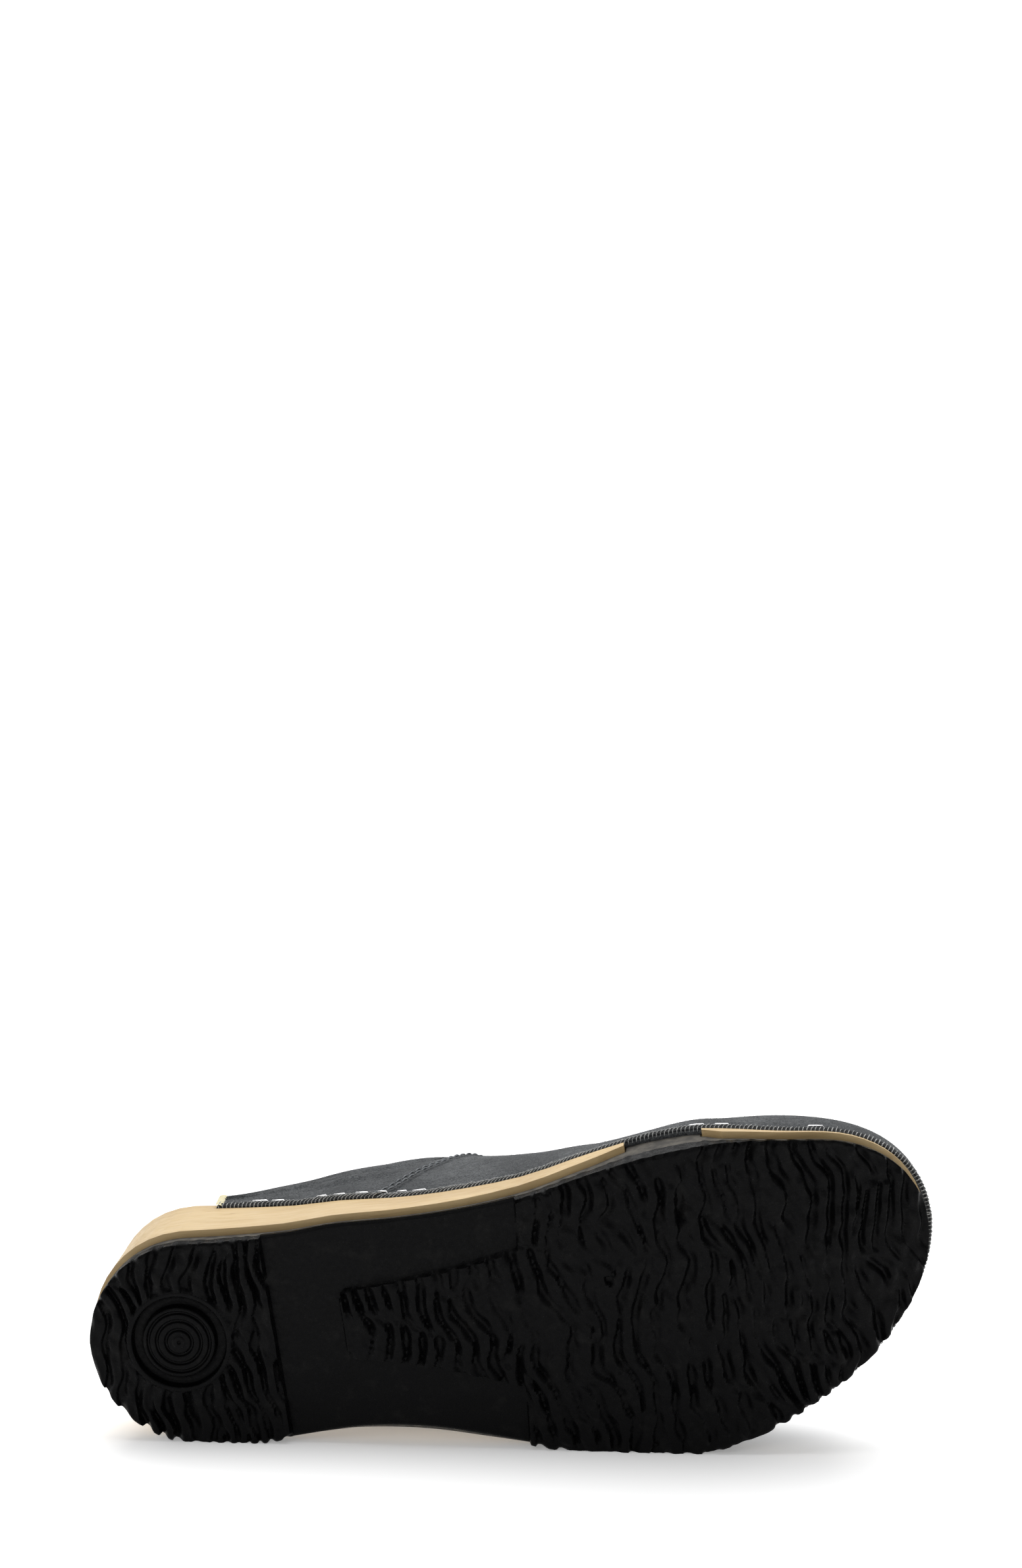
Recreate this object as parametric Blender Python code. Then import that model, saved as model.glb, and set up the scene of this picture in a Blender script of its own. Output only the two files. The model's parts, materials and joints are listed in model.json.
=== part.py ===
"""Left clog with a two-piece wooden sole on a flexible rubber outsole.

The shoe is modelled in its own frame: x from heel to toe, y to the lateral side,
z up from the floor that it would stand on. A parent empty then lays it on its
lateral side, on whatever it touches there, with the sole facing -Y.
"""
import math

import bmesh
import bpy
from mathutils import Matrix, Vector

MM = 0.001

# Driving sizes of the whole shoe
LENGTH = 255 * MM
BALL_WIDTH = 95.5 * MM
HEEL_WIDTH = 65 * MM
HEEL_HEIGHT = 29.5 * MM
BALL_HEIGHT = 14 * MM
TOE_SPRING = 11 * MM
INSTEP_HEIGHT = 80 * MM
TOE_BOX_HEIGHT = 51 * MM

# Rubber outsole
RUBBER = 7.5 * MM
WAIST_RECESS = 2.6 * MM
HEEL_BREAST_X = 57 * MM
TREAD_FRONT_X = 131.7 * MM
TREAD_FRONT_SKEW = 3.1 * MM
TONGUE_REAR_X = 78 * MM
TONGUE_REAR_WIDTH = 23 * MM
TONGUE_FRONT_WIDTH = 45 * MM
TONGUE_LATERAL_SHARE = 0.47
TREAD_PITCH = 6.2 * MM
TREAD_DEPTH = 1.6 * MM
TREAD_WAVE = 1.1 * MM
CREST_SHARE = 0.46
TREAD_MARGIN = 3.5 * MM
STEP_RUN = 0.6 * MM

# Ringed disc under the heel
RING_X = 27.5 * MM
RING_MEDIAL_SHIFT = 2 * MM
RING_RIM_RADIUS = 16 * MM
RING_OUTER_RADIUS = 14.5 * MM
DISC_RADIUS = 11 * MM
RING_DEPTH = 2.8 * MM

# Flex bridge of rubber between the wooden pieces
BRIDGE_REAR_X = 168.5 * MM
BRIDGE_LENGTH = 23 * MM
BRIDGE_DROP = 1.0 * MM

# Wooden pieces
RIM_BAND = 6 * MM
RIM_ROUND = 3.5 * MM
HEEL_CUP = 5 * MM
FOREFOOT_DISH = 2 * MM
ARCH_RISE = 3 * MM
REBATE = 0.8 * MM
GAP = 0.3 * MM

# Suede upper
WALL = 2.2 * MM
UPPER_GAP = 0.5 * MM
SEAM_STEP = 0.5 * MM
UPPER_REAR = 0.152
SEAM_FOOT = 0.352
SEAM_RUN = 0.15
COLLAR_FRONT = 0.455

# Densities used to find how the shoe lies, kg/m3
RUBBER_DENSITY = 1150
WOOD_DENSITY = 550
SUEDE_DENSITY = 860

# Plan of the tread. Rows: share of the length; centre line towards the medial side
# and half width, both as shares of the ball width (behind the waist, the half width
# is a share of the heel width instead, as the last column blends from 1 to 0).
PLAN = (
    # length  centre  half   heel
    (0.00,    0.024,  0.500, 1.0),
    (0.07,    0.018,  0.504, 1.0),
    (0.16,    0.003,  0.504, 1.0),
    (0.25,    0.006,  0.494, 1.0),
    (0.31,    0.014,  0.498, 1.0),
    (0.385,   0.000,  0.513, 1.0),
    (0.46,   -0.024,  0.379, 0.0),
    (0.54,   -0.045,  0.423, 0.0),
    (0.62,   -0.044,  0.472, 0.0),
    (0.69,   -0.035,  0.497, 0.0),
    (0.77,   -0.010,  0.492, 0.0),
    (0.85,    0.024,  0.479, 0.0),
    (0.93,    0.070,  0.492, 0.0),
    (1.00,    0.108,  0.500, 0.0),
)
HEEL_ROUND = 0.135
TOE_ROUND = 0.275

# Side of the sole. Rows: share of the length; wall height at the upper's edge as a
# share of the ball height; how much of the heel's lift is added; rubber thickness as
# a share of RUBBER; flare of the side, medial and lateral, as shares of RUBBER, which
# are equal at both tips, where the sides meet.
SIDE = (
    # length wall   lift   rubber medial lateral
    (0.00,   1.00,  1.03,  1.00, -0.10, -0.10),
    (0.10,   1.00,  1.00,  1.00, -0.12,  0.10),
    (0.20,   1.00,  0.95,  1.00, -0.25,  0.25),
    (0.27,   1.00,  0.80,  0.94, -0.30,  0.55),
    (0.33,   1.00,  0.62,  0.90, -0.30,  0.80),
    (0.39,   1.00,  0.48,  0.90, -0.27,  0.85),
    (0.46,   1.00,  0.36,  0.92, -0.20,  0.65),
    (0.52,   1.00,  0.26,  1.00, -0.15,  0.35),
    (0.58,   1.00,  0.13,  1.03, -0.06,  0.15),
    (0.62,   1.00,  0.06,  1.08, -0.03,  0.05),
    (0.66,   1.00,  0.02,  1.45,  0.00,  0.00),
    (0.71,   0.97,  0.00,  1.50,  0.00,  0.00),
    (0.752,  0.86,  0.00,  1.35, -0.04,  0.02),
    (0.775,  0.77,  0.00,  0.88, -0.10,  0.05),
    (0.82,   0.66,  0.00,  0.74, -0.18,  0.08),
    (0.87,   0.60,  0.00,  0.70, -0.22,  0.05),
    (0.93,   0.56,  0.00,  0.68, -0.20, -0.05),
    (1.00,   0.55,  0.00,  0.68, -0.12, -0.12),
)

# Sections of the upper. Rows: share of the length; crown height between the toe box
# (0) and the instep (1); outward lean of the medial and lateral wall (run per rise);
# fullness of the section (1 is an ellipse, less is squarer); topline as the share of
# the crown that is left behind the collar.
CROWN = (
    # length crown  medial lateral full  topline
    (0.150,  0.92,   0.00,  0.00,  0.62, 0.060),
    (0.185,  0.97,   0.02,  0.02,  0.60, 0.125),
    (0.220,  1.00,   0.04,  0.04,  0.58, 0.215),
    (0.270,  1.04,   0.05,  0.06,  0.56, 0.340),
    (0.330,  1.06,   0.05,  0.06,  0.55, 0.510),
    (0.390,  1.05,   0.06,  0.06,  0.55, 0.740),
    (0.425,  1.03,   0.06,  0.06,  0.56, 0.890),
    (0.445,  1.01,   0.06,  0.06,  0.57, 0.972),
    (0.455,  1.00,   0.06,  0.06,  0.58, 1.000),
    (0.520,  0.84,   0.04,  0.05,  0.64, 1.000),
    (0.580,  0.63,  -0.05,  0.04,  0.70, 1.000),
    (0.650,  0.40,  -0.15,  0.04,  0.72, 1.000),
    (0.700,  0.27,  -0.15,  0.04,  0.72, 1.000),
    (0.760,  0.13,  -0.06,  0.04,  0.72, 1.000),
    (0.820,  0.04,   0.00,  0.03,  0.72, 1.000),
    (0.900,  0.00,   0.02,  0.03,  0.70, 1.000),
    (1.000,  0.00,   0.00,  0.00,  0.70, 1.000),
)
TOE_DOME_START = 0.70
TOE_DOME_POWER = 2.5

MEDIAL = -1
LATERAL = 1
END_TURN = (0.24, 0.32, 0.70, 0.78)
UPPER_ROWS = 10
COLLAR_STATIONS = 14
VAMP_STATIONS = 25
WOOD_STATIONS = 30
FOOTBED_COLUMNS = (-0.72, -0.4, 0.0, 0.4, 0.72)


def clamp(value):
    return min(1.0, max(0.0, value))


def ease(low, high, value):
    """Smooth step from 0 at low to 1 at high."""
    share = clamp((value - low) / (high - low))
    return share * share * (3 - 2 * share)


def blend(a, b, share):
    return a + (b - a) * share


def read(table, column, share):
    """Value of a table's column at a share of the length, on a smooth curve."""
    keys = [row[0] for row in table]
    values = [row[column] for row in table]
    last = len(keys) - 1
    share = min(keys[last], max(keys[0], share))
    i = max(j for j in range(last) if keys[j] <= share)
    span = keys[i + 1] - keys[i]
    t = (share - keys[i]) / span

    def slope(j):
        low = max(0, j - 1)
        high = min(last, j + 1)
        return (values[high] - values[low]) / (keys[high] - keys[low]) * span

    return ((2 * t**3 - 3 * t**2 + 1) * values[i] + (t**3 - 2 * t**2 + t) * slope(i)
            + (3 * t**2 - 2 * t**3) * values[i + 1] + (t**3 - t**2) * slope(i + 1))


def toe_rise(share):
    """Toe spring: how far the tread is off the floor."""
    return TOE_SPRING * clamp((share - 0.70) / 0.30) ** 1.8


def edge_height(share):
    """Height of the upper's lower edge along the side of the sole."""
    lift = (HEEL_HEIGHT - BALL_HEIGHT) * read(SIDE, 2, share)
    return BALL_HEIGHT * read(SIDE, 1, share) + lift + toe_rise(share)


def joint_height(share):
    """Height of the joint between rubber and wood."""
    return RUBBER * read(SIDE, 3, share) + toe_rise(share)


def rim_height(share):
    return edge_height(share) + RIM_BAND


def half_width(share):
    """Half width of the tread before its ends are rounded off."""
    def row_width(row):
        return row[0], row[2] * blend(BALL_WIDTH, HEEL_WIDTH, row[3])
    return read([row_width(row) for row in PLAN], 1, share)


def end_rounding(share):
    """1 along the shoe, falling to 0 at both tips along an ellipse."""
    heel = clamp(1 - share / HEEL_ROUND)
    toe = clamp((share - 1 + TOE_ROUND) / TOE_ROUND)
    return math.sqrt(max(0.0, (1 - heel * heel) * (1 - toe * toe)))


def outline(side, turn):
    """Plan point of the tread's edge; turn runs from 0 at the heel to pi at the toe."""
    share = (1 - math.cos(turn)) / 2
    centre = -BALL_WIDTH * read(PLAN, 1, share)
    return Vector((LENGTH * share, centre + side * half_width(share) * end_rounding(share)))


def outward(side, turn):
    """Plan direction square to the edge at the ends and straight sideways between them."""
    step = 1e-4
    low = max(0.0, turn - step)
    high = min(math.pi, turn + step)
    along = outline(side, high) - outline(side, low)
    normal = Vector((along.y * -side, along.x * side)).normalized()
    share = (1 - math.cos(turn)) / 2
    a, b, c, d = END_TURN
    normal.x *= 1 - ease(a, b, share) * (1 - ease(c, d, share))
    return normal.normalized()


def turn_at(share):
    return math.acos(1 - 2 * clamp(share))


def side_point(side, share, offset, height):
    """Point at a distance outside the tread's edge."""
    turn = turn_at(share)
    plan = outline(side, turn) + outward(side, turn) * offset
    return Vector((plan.x, plan.y, height))


def flare(side, share, height):
    """How far the side of the sole stands outside the tread's edge at a height."""
    full = RUBBER * read(SIDE, 4 if side == MEDIAL else 5, share)
    rise = (height - toe_rise(share)) / (edge_height(share) - toe_rise(share))
    return full * clamp(rise)


def lean(side, share):
    return read(CROWN, 2 if side == MEDIAL else 3, share)


def rebate(share):
    return REBATE * ease(UPPER_REAR - 0.02, UPPER_REAR, share)


def rim_offset(side, share, height):
    """Offset of the sole's side above the upper's edge, where the upper covers it."""
    above = height - edge_height(share)
    return flare(side, share, height) - rebate(share) + min(0.0, lean(side, share)) * above


def new_object(name, mesh_data, material, parent):
    mesh = bpy.data.meshes.new(name)
    mesh_data.to_mesh(mesh)
    mesh_data.free()
    mesh.materials.append(material)
    mesh.shade_smooth()
    mesh.set_sharp_from_angle(angle=math.radians(35))
    item = bpy.data.objects.new(name, mesh)
    item.parent = parent
    bpy.context.collection.objects.link(item)
    return item


def make_material(name, colour, roughness):
    material = bpy.data.materials.new(name)
    material.use_nodes = True
    shader = material.node_tree.nodes["Principled BSDF"]
    shader.inputs["Base Color"].default_value = (*colour, 1)
    shader.inputs["Roughness"].default_value = roughness
    shader.inputs["Metallic"].default_value = 0
    return material


def finish_mesh(mesh_data):
    bmesh.ops.remove_doubles(mesh_data, verts=mesh_data.verts, dist=0.002 * MM)
    bmesh.ops.dissolve_degenerate(mesh_data, edges=mesh_data.edges, dist=0.002 * MM)
    bmesh.ops.recalc_face_normals(mesh_data, faces=mesh_data.faces)


def loft(loops, cap_start, cap_end):
    """Closed body through loops of equal count; an uncapped end has shrunk to a line."""
    mesh_data = bmesh.new()
    rows = [[mesh_data.verts.new(point) for point in loop] for loop in loops]
    count = len(rows[0])
    for row, following in zip(rows, rows[1:]):
        for i in range(count):
            j = (i + 1) % count
            mesh_data.faces.new((row[i], row[j], following[j], following[i]))
    if cap_start:
        mesh_data.faces.new(rows[0])
    if cap_end:
        mesh_data.faces.new(rows[-1])
    finish_mesh(mesh_data)
    return mesh_data


def across(lateral, medial, fraction):
    """Point between the two sides; fraction runs from -1 lateral to 1 medial."""
    return lateral.lerp(medial, (fraction + 1) / 2)


# Outsole

def tongue_edges(share):
    """Fractions across the tread where the raised tongue of the waist begins and ends."""
    along = clamp((share * LENGTH - TONGUE_REAR_X) / (TREAD_FRONT_X - TONGUE_REAR_X))
    width = blend(TONGUE_REAR_WIDTH, TONGUE_FRONT_WIDTH, along ** 1.5)
    reach = 2 * width / max(2 * half_width(share), width)
    return -TONGUE_LATERAL_SHARE * reach, (1 - TONGUE_LATERAL_SHARE) * reach


def tread_lines():
    """Stations of the tread, as (x, kind): crest edges, valleys and the steps of the waist."""
    lines = []

    def ridges(start, end):
        count = max(1, round((end - start) / TREAD_PITCH))
        pitch = (end - start) / count
        margin = pitch * (1 - CREST_SHARE) / 2
        for i in range(count):
            lines.append((start + i * pitch + margin, "crest"))
            lines.append((start + (i + 1) * pitch - margin, "crest"))
            if i < count - 1:
                lines.append((start + (i + 1) * pitch, "valley"))

    lines.append((0.0, "tip"))
    lines.append((TREAD_MARGIN / 3, "tip"))
    ridges(TREAD_MARGIN, HEEL_BREAST_X - STEP_RUN)
    lines.append((HEEL_BREAST_X, "waist"))
    lines.append((TONGUE_REAR_X - STEP_RUN, "waist"))
    ridges(TONGUE_REAR_X, TREAD_FRONT_X - STEP_RUN)
    lines.append((TREAD_FRONT_X - STEP_RUN / 2, "tongue"))
    ridges(TREAD_FRONT_X, LENGTH - TREAD_MARGIN * 2)
    for part in (0.45, 0.75, 0.92):
        lines.append((LENGTH - TREAD_MARGIN * 2 * (1 - part), "tip"))
    lines.append((LENGTH, "tip"))
    return lines


def tread_depth(x, kind, in_tongue):
    """How far a point of the tread is above the tread plane."""
    if kind == "tip":
        return 0.0
    in_waist = HEEL_BREAST_X <= x < TREAD_FRONT_X
    if kind == "waist" or (in_waist and not in_tongue):
        return WAIST_RECESS
    return TREAD_DEPTH if kind == "valley" else 0.0


def front_skew(share):
    """Forward shift, in shares, of a station's medial end; its lateral end shifts back."""
    x = share * LENGTH
    window = ease(TONGUE_REAR_X, TREAD_FRONT_X, x) * (1 - ease(TREAD_FRONT_X, BRIDGE_REAR_X, x))
    return TREAD_FRONT_SKEW / LENGTH * window


def tread_row(share, kind, number):
    """Bottom points of one station from lateral to medial."""
    x = share * LENGTH
    low, high = tongue_edges(share)
    slit = STEP_RUN / max(half_width(share), STEP_RUN)
    inside = (low + slit, blend(low, high, 0.35), blend(low, high, 0.65), high - slit)
    columns = [(-1, False), (blend(-1, low, 0.5), False), (low, False)]
    columns += [(fraction, True) for fraction in inside]
    columns += [(high, False), (blend(high, 1, 0.5), False), (1, False)]
    lateral = side_point(LATERAL, share - front_skew(share), 0, 0)
    medial = side_point(MEDIAL, share + front_skew(share), 0, 0)
    row = []
    for fraction, in_tongue in columns:
        point = across(lateral, medial, fraction)
        if kind in ("crest", "valley"):
            phase = point.y / BALL_WIDTH * 9 + number * 0.8
            point.x += TREAD_WAVE * math.sin(phase) * (1 - fraction ** 4) * end_rounding(share)
        point.z = toe_rise(share) + tread_depth(x, kind, in_tongue)
        row.append(point)
    return row


def outsole_sides(side, share, bridged):
    """Side levels of the outsole, upwards."""
    share -= side * front_skew(share)
    joint = joint_height(share)
    level = edge_height(share)
    top = rim_height(share) - BRIDGE_DROP
    if bridged:
        levels = [(flare(side, share, joint), joint), (flare(side, share, level), level)]
        levels += [(rim_offset(side, share, z), z) for z in (level + 2 * GAP / 3, top)]
    else:
        edge = flare(side, share, joint)
        inset = RUBBER / 10 * end_rounding(share)
        levels = [(edge - inset * i, joint) for i in range(4)]
    return [side_point(side, share, offset, height) for offset, height in levels]


def outsole_loops():
    bridge_front = BRIDGE_REAR_X + BRIDGE_LENGTH
    stations = [(x, kind, BRIDGE_REAR_X < x < bridge_front) for x, kind in tread_lines()]
    near = [BRIDGE_REAR_X, bridge_front]
    stations = [s for s in stations if min(abs(s[0] - x) for x in near) > STEP_RUN * 1.5]
    stations += [(BRIDGE_REAR_X, "crest", False), (BRIDGE_REAR_X + GAP, "crest", True)]
    stations += [(bridge_front - GAP, "crest", True), (bridge_front, "crest", False)]
    loops = []
    for number, (x, kind, bridged) in enumerate(sorted(stations)):
        share = x / LENGTH
        bottom = tread_row(share, kind, number // 3)
        medial = outsole_sides(MEDIAL, share, bridged)
        lateral = outsole_sides(LATERAL, share, bridged)
        top = [across(lateral[-1], medial[-1], fraction) for fraction in (0.4, -0.4)]
        loops.append(bottom + medial + top + lateral[::-1])
    return loops


def turned(name, profile, parent):
    """Guide body turned about a vertical axis through the heel ring."""
    mesh_data = bmesh.new()
    points = [mesh_data.verts.new((radius, 0, height)) for radius, height in profile]
    edges = [mesh_data.edges.new((a, b)) for a, b in zip(points, points[1:] + points[:1])]
    bmesh.ops.spin(mesh_data, geom=points + edges, cent=(0, 0, 0), axis=(0, 0, 1),
                   angle=2 * math.pi, steps=32, use_merge=True)
    bmesh.ops.remove_doubles(mesh_data, verts=mesh_data.verts, dist=0.002 * MM)
    bmesh.ops.dissolve_degenerate(mesh_data, edges=mesh_data.edges, dist=0.002 * MM)
    bmesh.ops.recalc_face_normals(mesh_data, faces=mesh_data.faces)
    mesh = bpy.data.meshes.new(name)
    mesh_data.to_mesh(mesh)
    mesh_data.free()
    guide = bpy.data.objects.new(name, mesh)
    share = RING_X / LENGTH
    middle = across(side_point(LATERAL, share, 0, 0), side_point(MEDIAL, share, 0, 0), 0)
    guide.location = (RING_X, middle.y - RING_MEDIAL_SHIFT, 0)
    guide.parent = parent
    guide.hide_render = True
    guide.display_type = "WIRE"
    bpy.context.collection.objects.link(guide)
    return guide


def add_boolean(item, guide, operation):
    modifier = item.modifiers.new(guide.name, "BOOLEAN")
    modifier.operation = operation
    modifier.solver = "EXACT"
    modifier.object = guide


def make_outsole(parent, material):
    outsole = new_object("outsole", loft(outsole_loops(), False, False), material, parent)
    inside = RUBBER * 0.6
    plateau = [(0, 0), (RING_RIM_RADIUS, 0), (RING_RIM_RADIUS, inside), (0, inside)]
    groove = [(DISC_RADIUS, -RUBBER), (RING_OUTER_RADIUS, -RUBBER),
              (RING_OUTER_RADIUS, RING_DEPTH), (DISC_RADIUS, RING_DEPTH)]
    add_boolean(outsole, turned("heel_plateau_guide", plateau, parent), "UNION")
    add_boolean(outsole, turned("heel_ring_cutter", groove, parent), "DIFFERENCE")
    return outsole


# Wooden pieces

def footbed(share, lateral, medial, fraction):
    """Point of the footbed, dished towards the middle and raised at the arch."""
    point = across(lateral, medial, fraction)
    dish = blend(HEEL_CUP, FOREFOOT_DISH, ease(0.15, 0.6, share)) * end_rounding(share)
    arch = ARCH_RISE * ease(0.2, 0.38, share) * (1 - ease(0.42, 0.58, share))
    point.z -= dish * (1 - fraction ** 4)
    point.z += arch * clamp(fraction + 0.1) * (1 - clamp(fraction) ** 2)
    return point


def wood_loop(share):
    """Section of the wooden sole from its underside over the footbed."""
    bottom = joint_height(share) + GAP
    level = edge_height(share)
    rim = rim_height(share)
    sides = {}
    for side in (MEDIAL, LATERAL):
        covered = ease(UPPER_REAR - 0.02, UPPER_REAR, share)
        round_off = RIM_ROUND * blend(1, 0.4, covered) * end_rounding(max(share, 0.02))
        shoulder = level - GAP * covered
        levels = [(flare(side, share, bottom), bottom),
                  (flare(side, share, shoulder), shoulder),
                  (rim_offset(side, share, level), level + GAP / 3),
                  (rim_offset(side, share, rim - round_off), rim - round_off),
                  (rim_offset(side, share, rim) - round_off * 0.3, rim - round_off * 0.3),
                  (rim_offset(side, share, rim) - round_off, rim)]
        sides[side] = [side_point(side, share, offset, height) for offset, height in levels]
    medial = sides[MEDIAL]
    lateral = sides[LATERAL]
    below = [across(lateral[0], medial[0], fraction) for fraction in (-0.4, 0.4)]
    above = [footbed(share, lateral[-1], medial[-1], f) for f in reversed(FOOTBED_COLUMNS)]
    return below + medial + above + lateral[::-1]


def spread(start, end, count):
    """Shares from start to end, closer together at the rounded tips of the shoe."""
    first = turn_at(start)
    last = turn_at(end)
    turns = [blend(first, last, i / (count - 1)) for i in range(count)]
    return [(1 - math.cos(turn)) / 2 for turn in turns]


def make_wood(parent, material):
    rear_end = (BRIDGE_REAR_X - GAP) / LENGTH
    front_start = (BRIDGE_REAR_X + BRIDGE_LENGTH + GAP) / LENGTH
    rear = [wood_loop(share) for share in spread(0, rear_end, WOOD_STATIONS)]
    front = [wood_loop(share) for share in spread(front_start, 1, WOOD_STATIONS * 2 // 3)]
    new_object("wood_sole_rear", loft(rear, False, True), material, parent)
    new_object("wood_sole_front", loft(front, True, False), material, parent)


# Upper

def toe_dome(share):
    """1 over the instep, falling to 0 at the tip of the toe."""
    along = clamp((share - TOE_DOME_START) / (1 - TOE_DOME_START))
    return max(0.0, 1 - along ** TOE_DOME_POWER) ** (1 / TOE_DOME_POWER)


def crown_rise(share):
    """Height of the crown above the band that covers the sole's rim."""
    crown = blend(TOE_BOX_HEIGHT, INSTEP_HEIGHT, read(CROWN, 1, share))
    return (crown - rim_height(share)) * toe_dome(share)


def skin(side, share, row, top_angle, depth):
    """Point of the upper at a depth under its outer face; row 0 is the lower edge."""
    level = edge_height(share) + GAP
    slant = lean(side, share)
    rise = crown_rise(share) * (1 - depth / (INSTEP_HEIGHT - BALL_HEIGHT))
    skin_offset = UPPER_GAP - rebate(share) + WALL - depth
    ends = {}
    for each in (MEDIAL, LATERAL):
        side_offset = flare(each, share, level) + skin_offset
        if row > 0:
            side_offset += lean(each, share) * RIM_BAND
        ends[each] = side_point(each, share, side_offset, level)
    if row == 0:
        return ends[side]
    angle = top_angle * (row - 1) / (UPPER_ROWS - 1)
    middle = (ends[MEDIAL] + ends[LATERAL]) / 2
    reach = max(0.0, math.cos(angle)) ** read(CROWN, 4, share)
    point = middle.lerp(ends[side], reach)
    point.y += side * slant * rise * math.sin(angle) * math.cos(angle)
    point.z = level + RIM_BAND + rise * math.sin(angle)
    return point


def seam_lean(station, row):
    """Forward shift of a station line on its way up, so that one of them is the seam."""
    window = ease(UPPER_REAR, SEAM_FOOT, station) * (1 - ease(SEAM_FOOT, 0.97, station))
    return SEAM_RUN * window * math.sin(math.pi / 2 * row / UPPER_ROWS)


def top_angle_at(share):
    if share > COLLAR_FRONT - 1e-6:
        return math.pi / 2
    return math.asin(clamp(read(CROWN, 5, share)))


def station_under(top_share):
    """Lower-edge share of the station line that reaches the crown or topline at a share."""
    low = UPPER_REAR
    high = 1.0
    for _ in range(40):
        middle = (low + high) / 2
        if middle + seam_lean(middle, UPPER_ROWS) < top_share:
            low = middle
        else:
            high = middle
    return low


def upper_stations():
    """Lower-edge shares of the station lines, with a close pair along the seam."""
    tops = [blend(UPPER_REAR, COLLAR_FRONT, 1 - (1 - i / COLLAR_STATIONS) ** 1.7)
            for i in range(COLLAR_STATIONS)]
    tops += spread(COLLAR_FRONT, 1, VAMP_STATIONS)
    shares = [station_under(top) for top in tops]
    shares[0] = UPPER_REAR
    shares[-1] = 1.0
    step = SEAM_STEP / LENGTH * 1.5
    shares = [share for share in shares if abs(share - SEAM_FOOT) > 4 * step]
    return sorted(shares + [SEAM_FOOT - step / 2, SEAM_FOOT + step / 2])


def upper_sheet(side, depth, raised):
    """Rows of points of one side of the upper; the quarter stands proud of the vamp."""
    sheet = []
    for station in upper_stations():
        top_share = station + seam_lean(station, UPPER_ROWS)
        angle = top_angle_at(top_share)
        behind = raised and station < SEAM_FOOT
        proud = SEAM_STEP if behind else 0
        sheet.append([skin(side, station + seam_lean(station, row), row, angle, depth - proud)
                      for row in range(UPPER_ROWS + 1)])
    return sheet


def make_upper(parent, material):
    mesh_data = bmesh.new()

    def add_rows(sheet):
        return [[mesh_data.verts.new(point) for point in line] for line in sheet]

    def skin_over(first, second):
        for a, b, c, d in zip(first, first[1:], second[1:], second):
            mesh_data.faces.new((a, b, c, d))

    closed = [station + seam_lean(station, UPPER_ROWS) > COLLAR_FRONT - 1e-6
              for station in upper_stations()]
    for side in (MEDIAL, LATERAL):
        outer = add_rows(upper_sheet(side, 0, True))
        inner = add_rows(upper_sheet(side, WALL, False))
        for sheet in (outer, inner):
            for line, following in zip(sheet, sheet[1:]):
                skin_over(line, following)
        skin_over([line[0] for line in outer], [line[0] for line in inner])
        skin_over(outer[0], inner[0])
        first_closed = closed.index(True)
        topline = slice(0, first_closed + 1)
        skin_over([line[-1] for line in outer[topline]], [line[-1] for line in inner[topline]])
    finish_mesh(mesh_data)
    return new_object("upper", mesh_data, material, parent)


# Resting pose

def world_points(item):
    graph = bpy.context.evaluated_depsgraph_get()
    evaluated = item.evaluated_get(graph)
    mesh = evaluated.to_mesh()
    mesh.calc_loop_triangles()
    points = [item.matrix_world @ vertex.co for vertex in mesh.vertices]
    triangles = [tuple(triangle.vertices) for triangle in mesh.loop_triangles]
    evaluated.to_mesh_clear()
    return points, triangles


def moment(points, triangles):
    """Volume of a closed mesh, and its centre times that volume."""
    volume = 0.0
    total = Vector((0, 0, 0))
    for a, b, c in triangles:
        part = points[a].dot(points[b].cross(points[c])) / 6
        volume += part
        total += part * (points[a] + points[b] + points[c]) / 4
    return volume, total


def lying_rotation(densities):
    """Rotation that lays the shoe on the lateral facet of its hull, under its weight."""
    hull = bmesh.new()
    mass = 0.0
    weighted = Vector((0, 0, 0))
    for name, density in densities.items():
        points, triangles = world_points(bpy.data.objects[name])
        volume, total = moment(points, triangles)
        mass += volume * density
        weighted += total * density
        for point in points:
            hull.verts.new(point)
    centre = weighted / mass
    result = bmesh.ops.convex_hull(hull, input=hull.verts)
    faces = [item for item in result["geom"] if isinstance(item, bmesh.types.BMFace)]
    best = None
    for face in faces:
        normal = face.normal
        base = face.verts[0].co
        if (base - centre).dot(normal) < 0:
            normal = -normal
        if normal.y < 0.85:
            continue
        landing = centre + normal * (base - centre).dot(normal)
        corners = [vertex.co for vertex in face.verts]
        turns = [(b - a).cross(landing - a).dot(normal)
                 for a, b in zip(corners, corners[1:] + corners[:1])]
        if min(turns) * max(turns) >= 0:
            height = (base - centre).dot(normal)
            if best is None or height < best[0]:
                best = (height, normal.copy())
    hull.free()
    down = best[1] if best else Vector((0, 1, 0))
    up = -down
    forward = (Vector((1, 0, 0)) - up * up.x).normalized()
    return Matrix((forward, up.cross(forward), up)).to_4x4()


def lay_down(root, densities):
    """Lay the shoe on its side, with the origin at the bottom centre of its box."""
    root.matrix_world = lying_rotation(densities)
    bpy.context.view_layer.update()
    points = []
    for name in densities:
        points += world_points(bpy.data.objects[name])[0]
    lows = [min(point[axis] for point in points) for axis in range(3)]
    highs = [max(point[axis] for point in points) for axis in range(3)]
    middle = [(low + high) / 2 for low, high in zip(lows, highs)]
    shift = Vector((-middle[0], -middle[1], -lows[2]))
    root.matrix_world = Matrix.Translation(shift) @ root.matrix_world
    bpy.context.view_layer.update()


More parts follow.
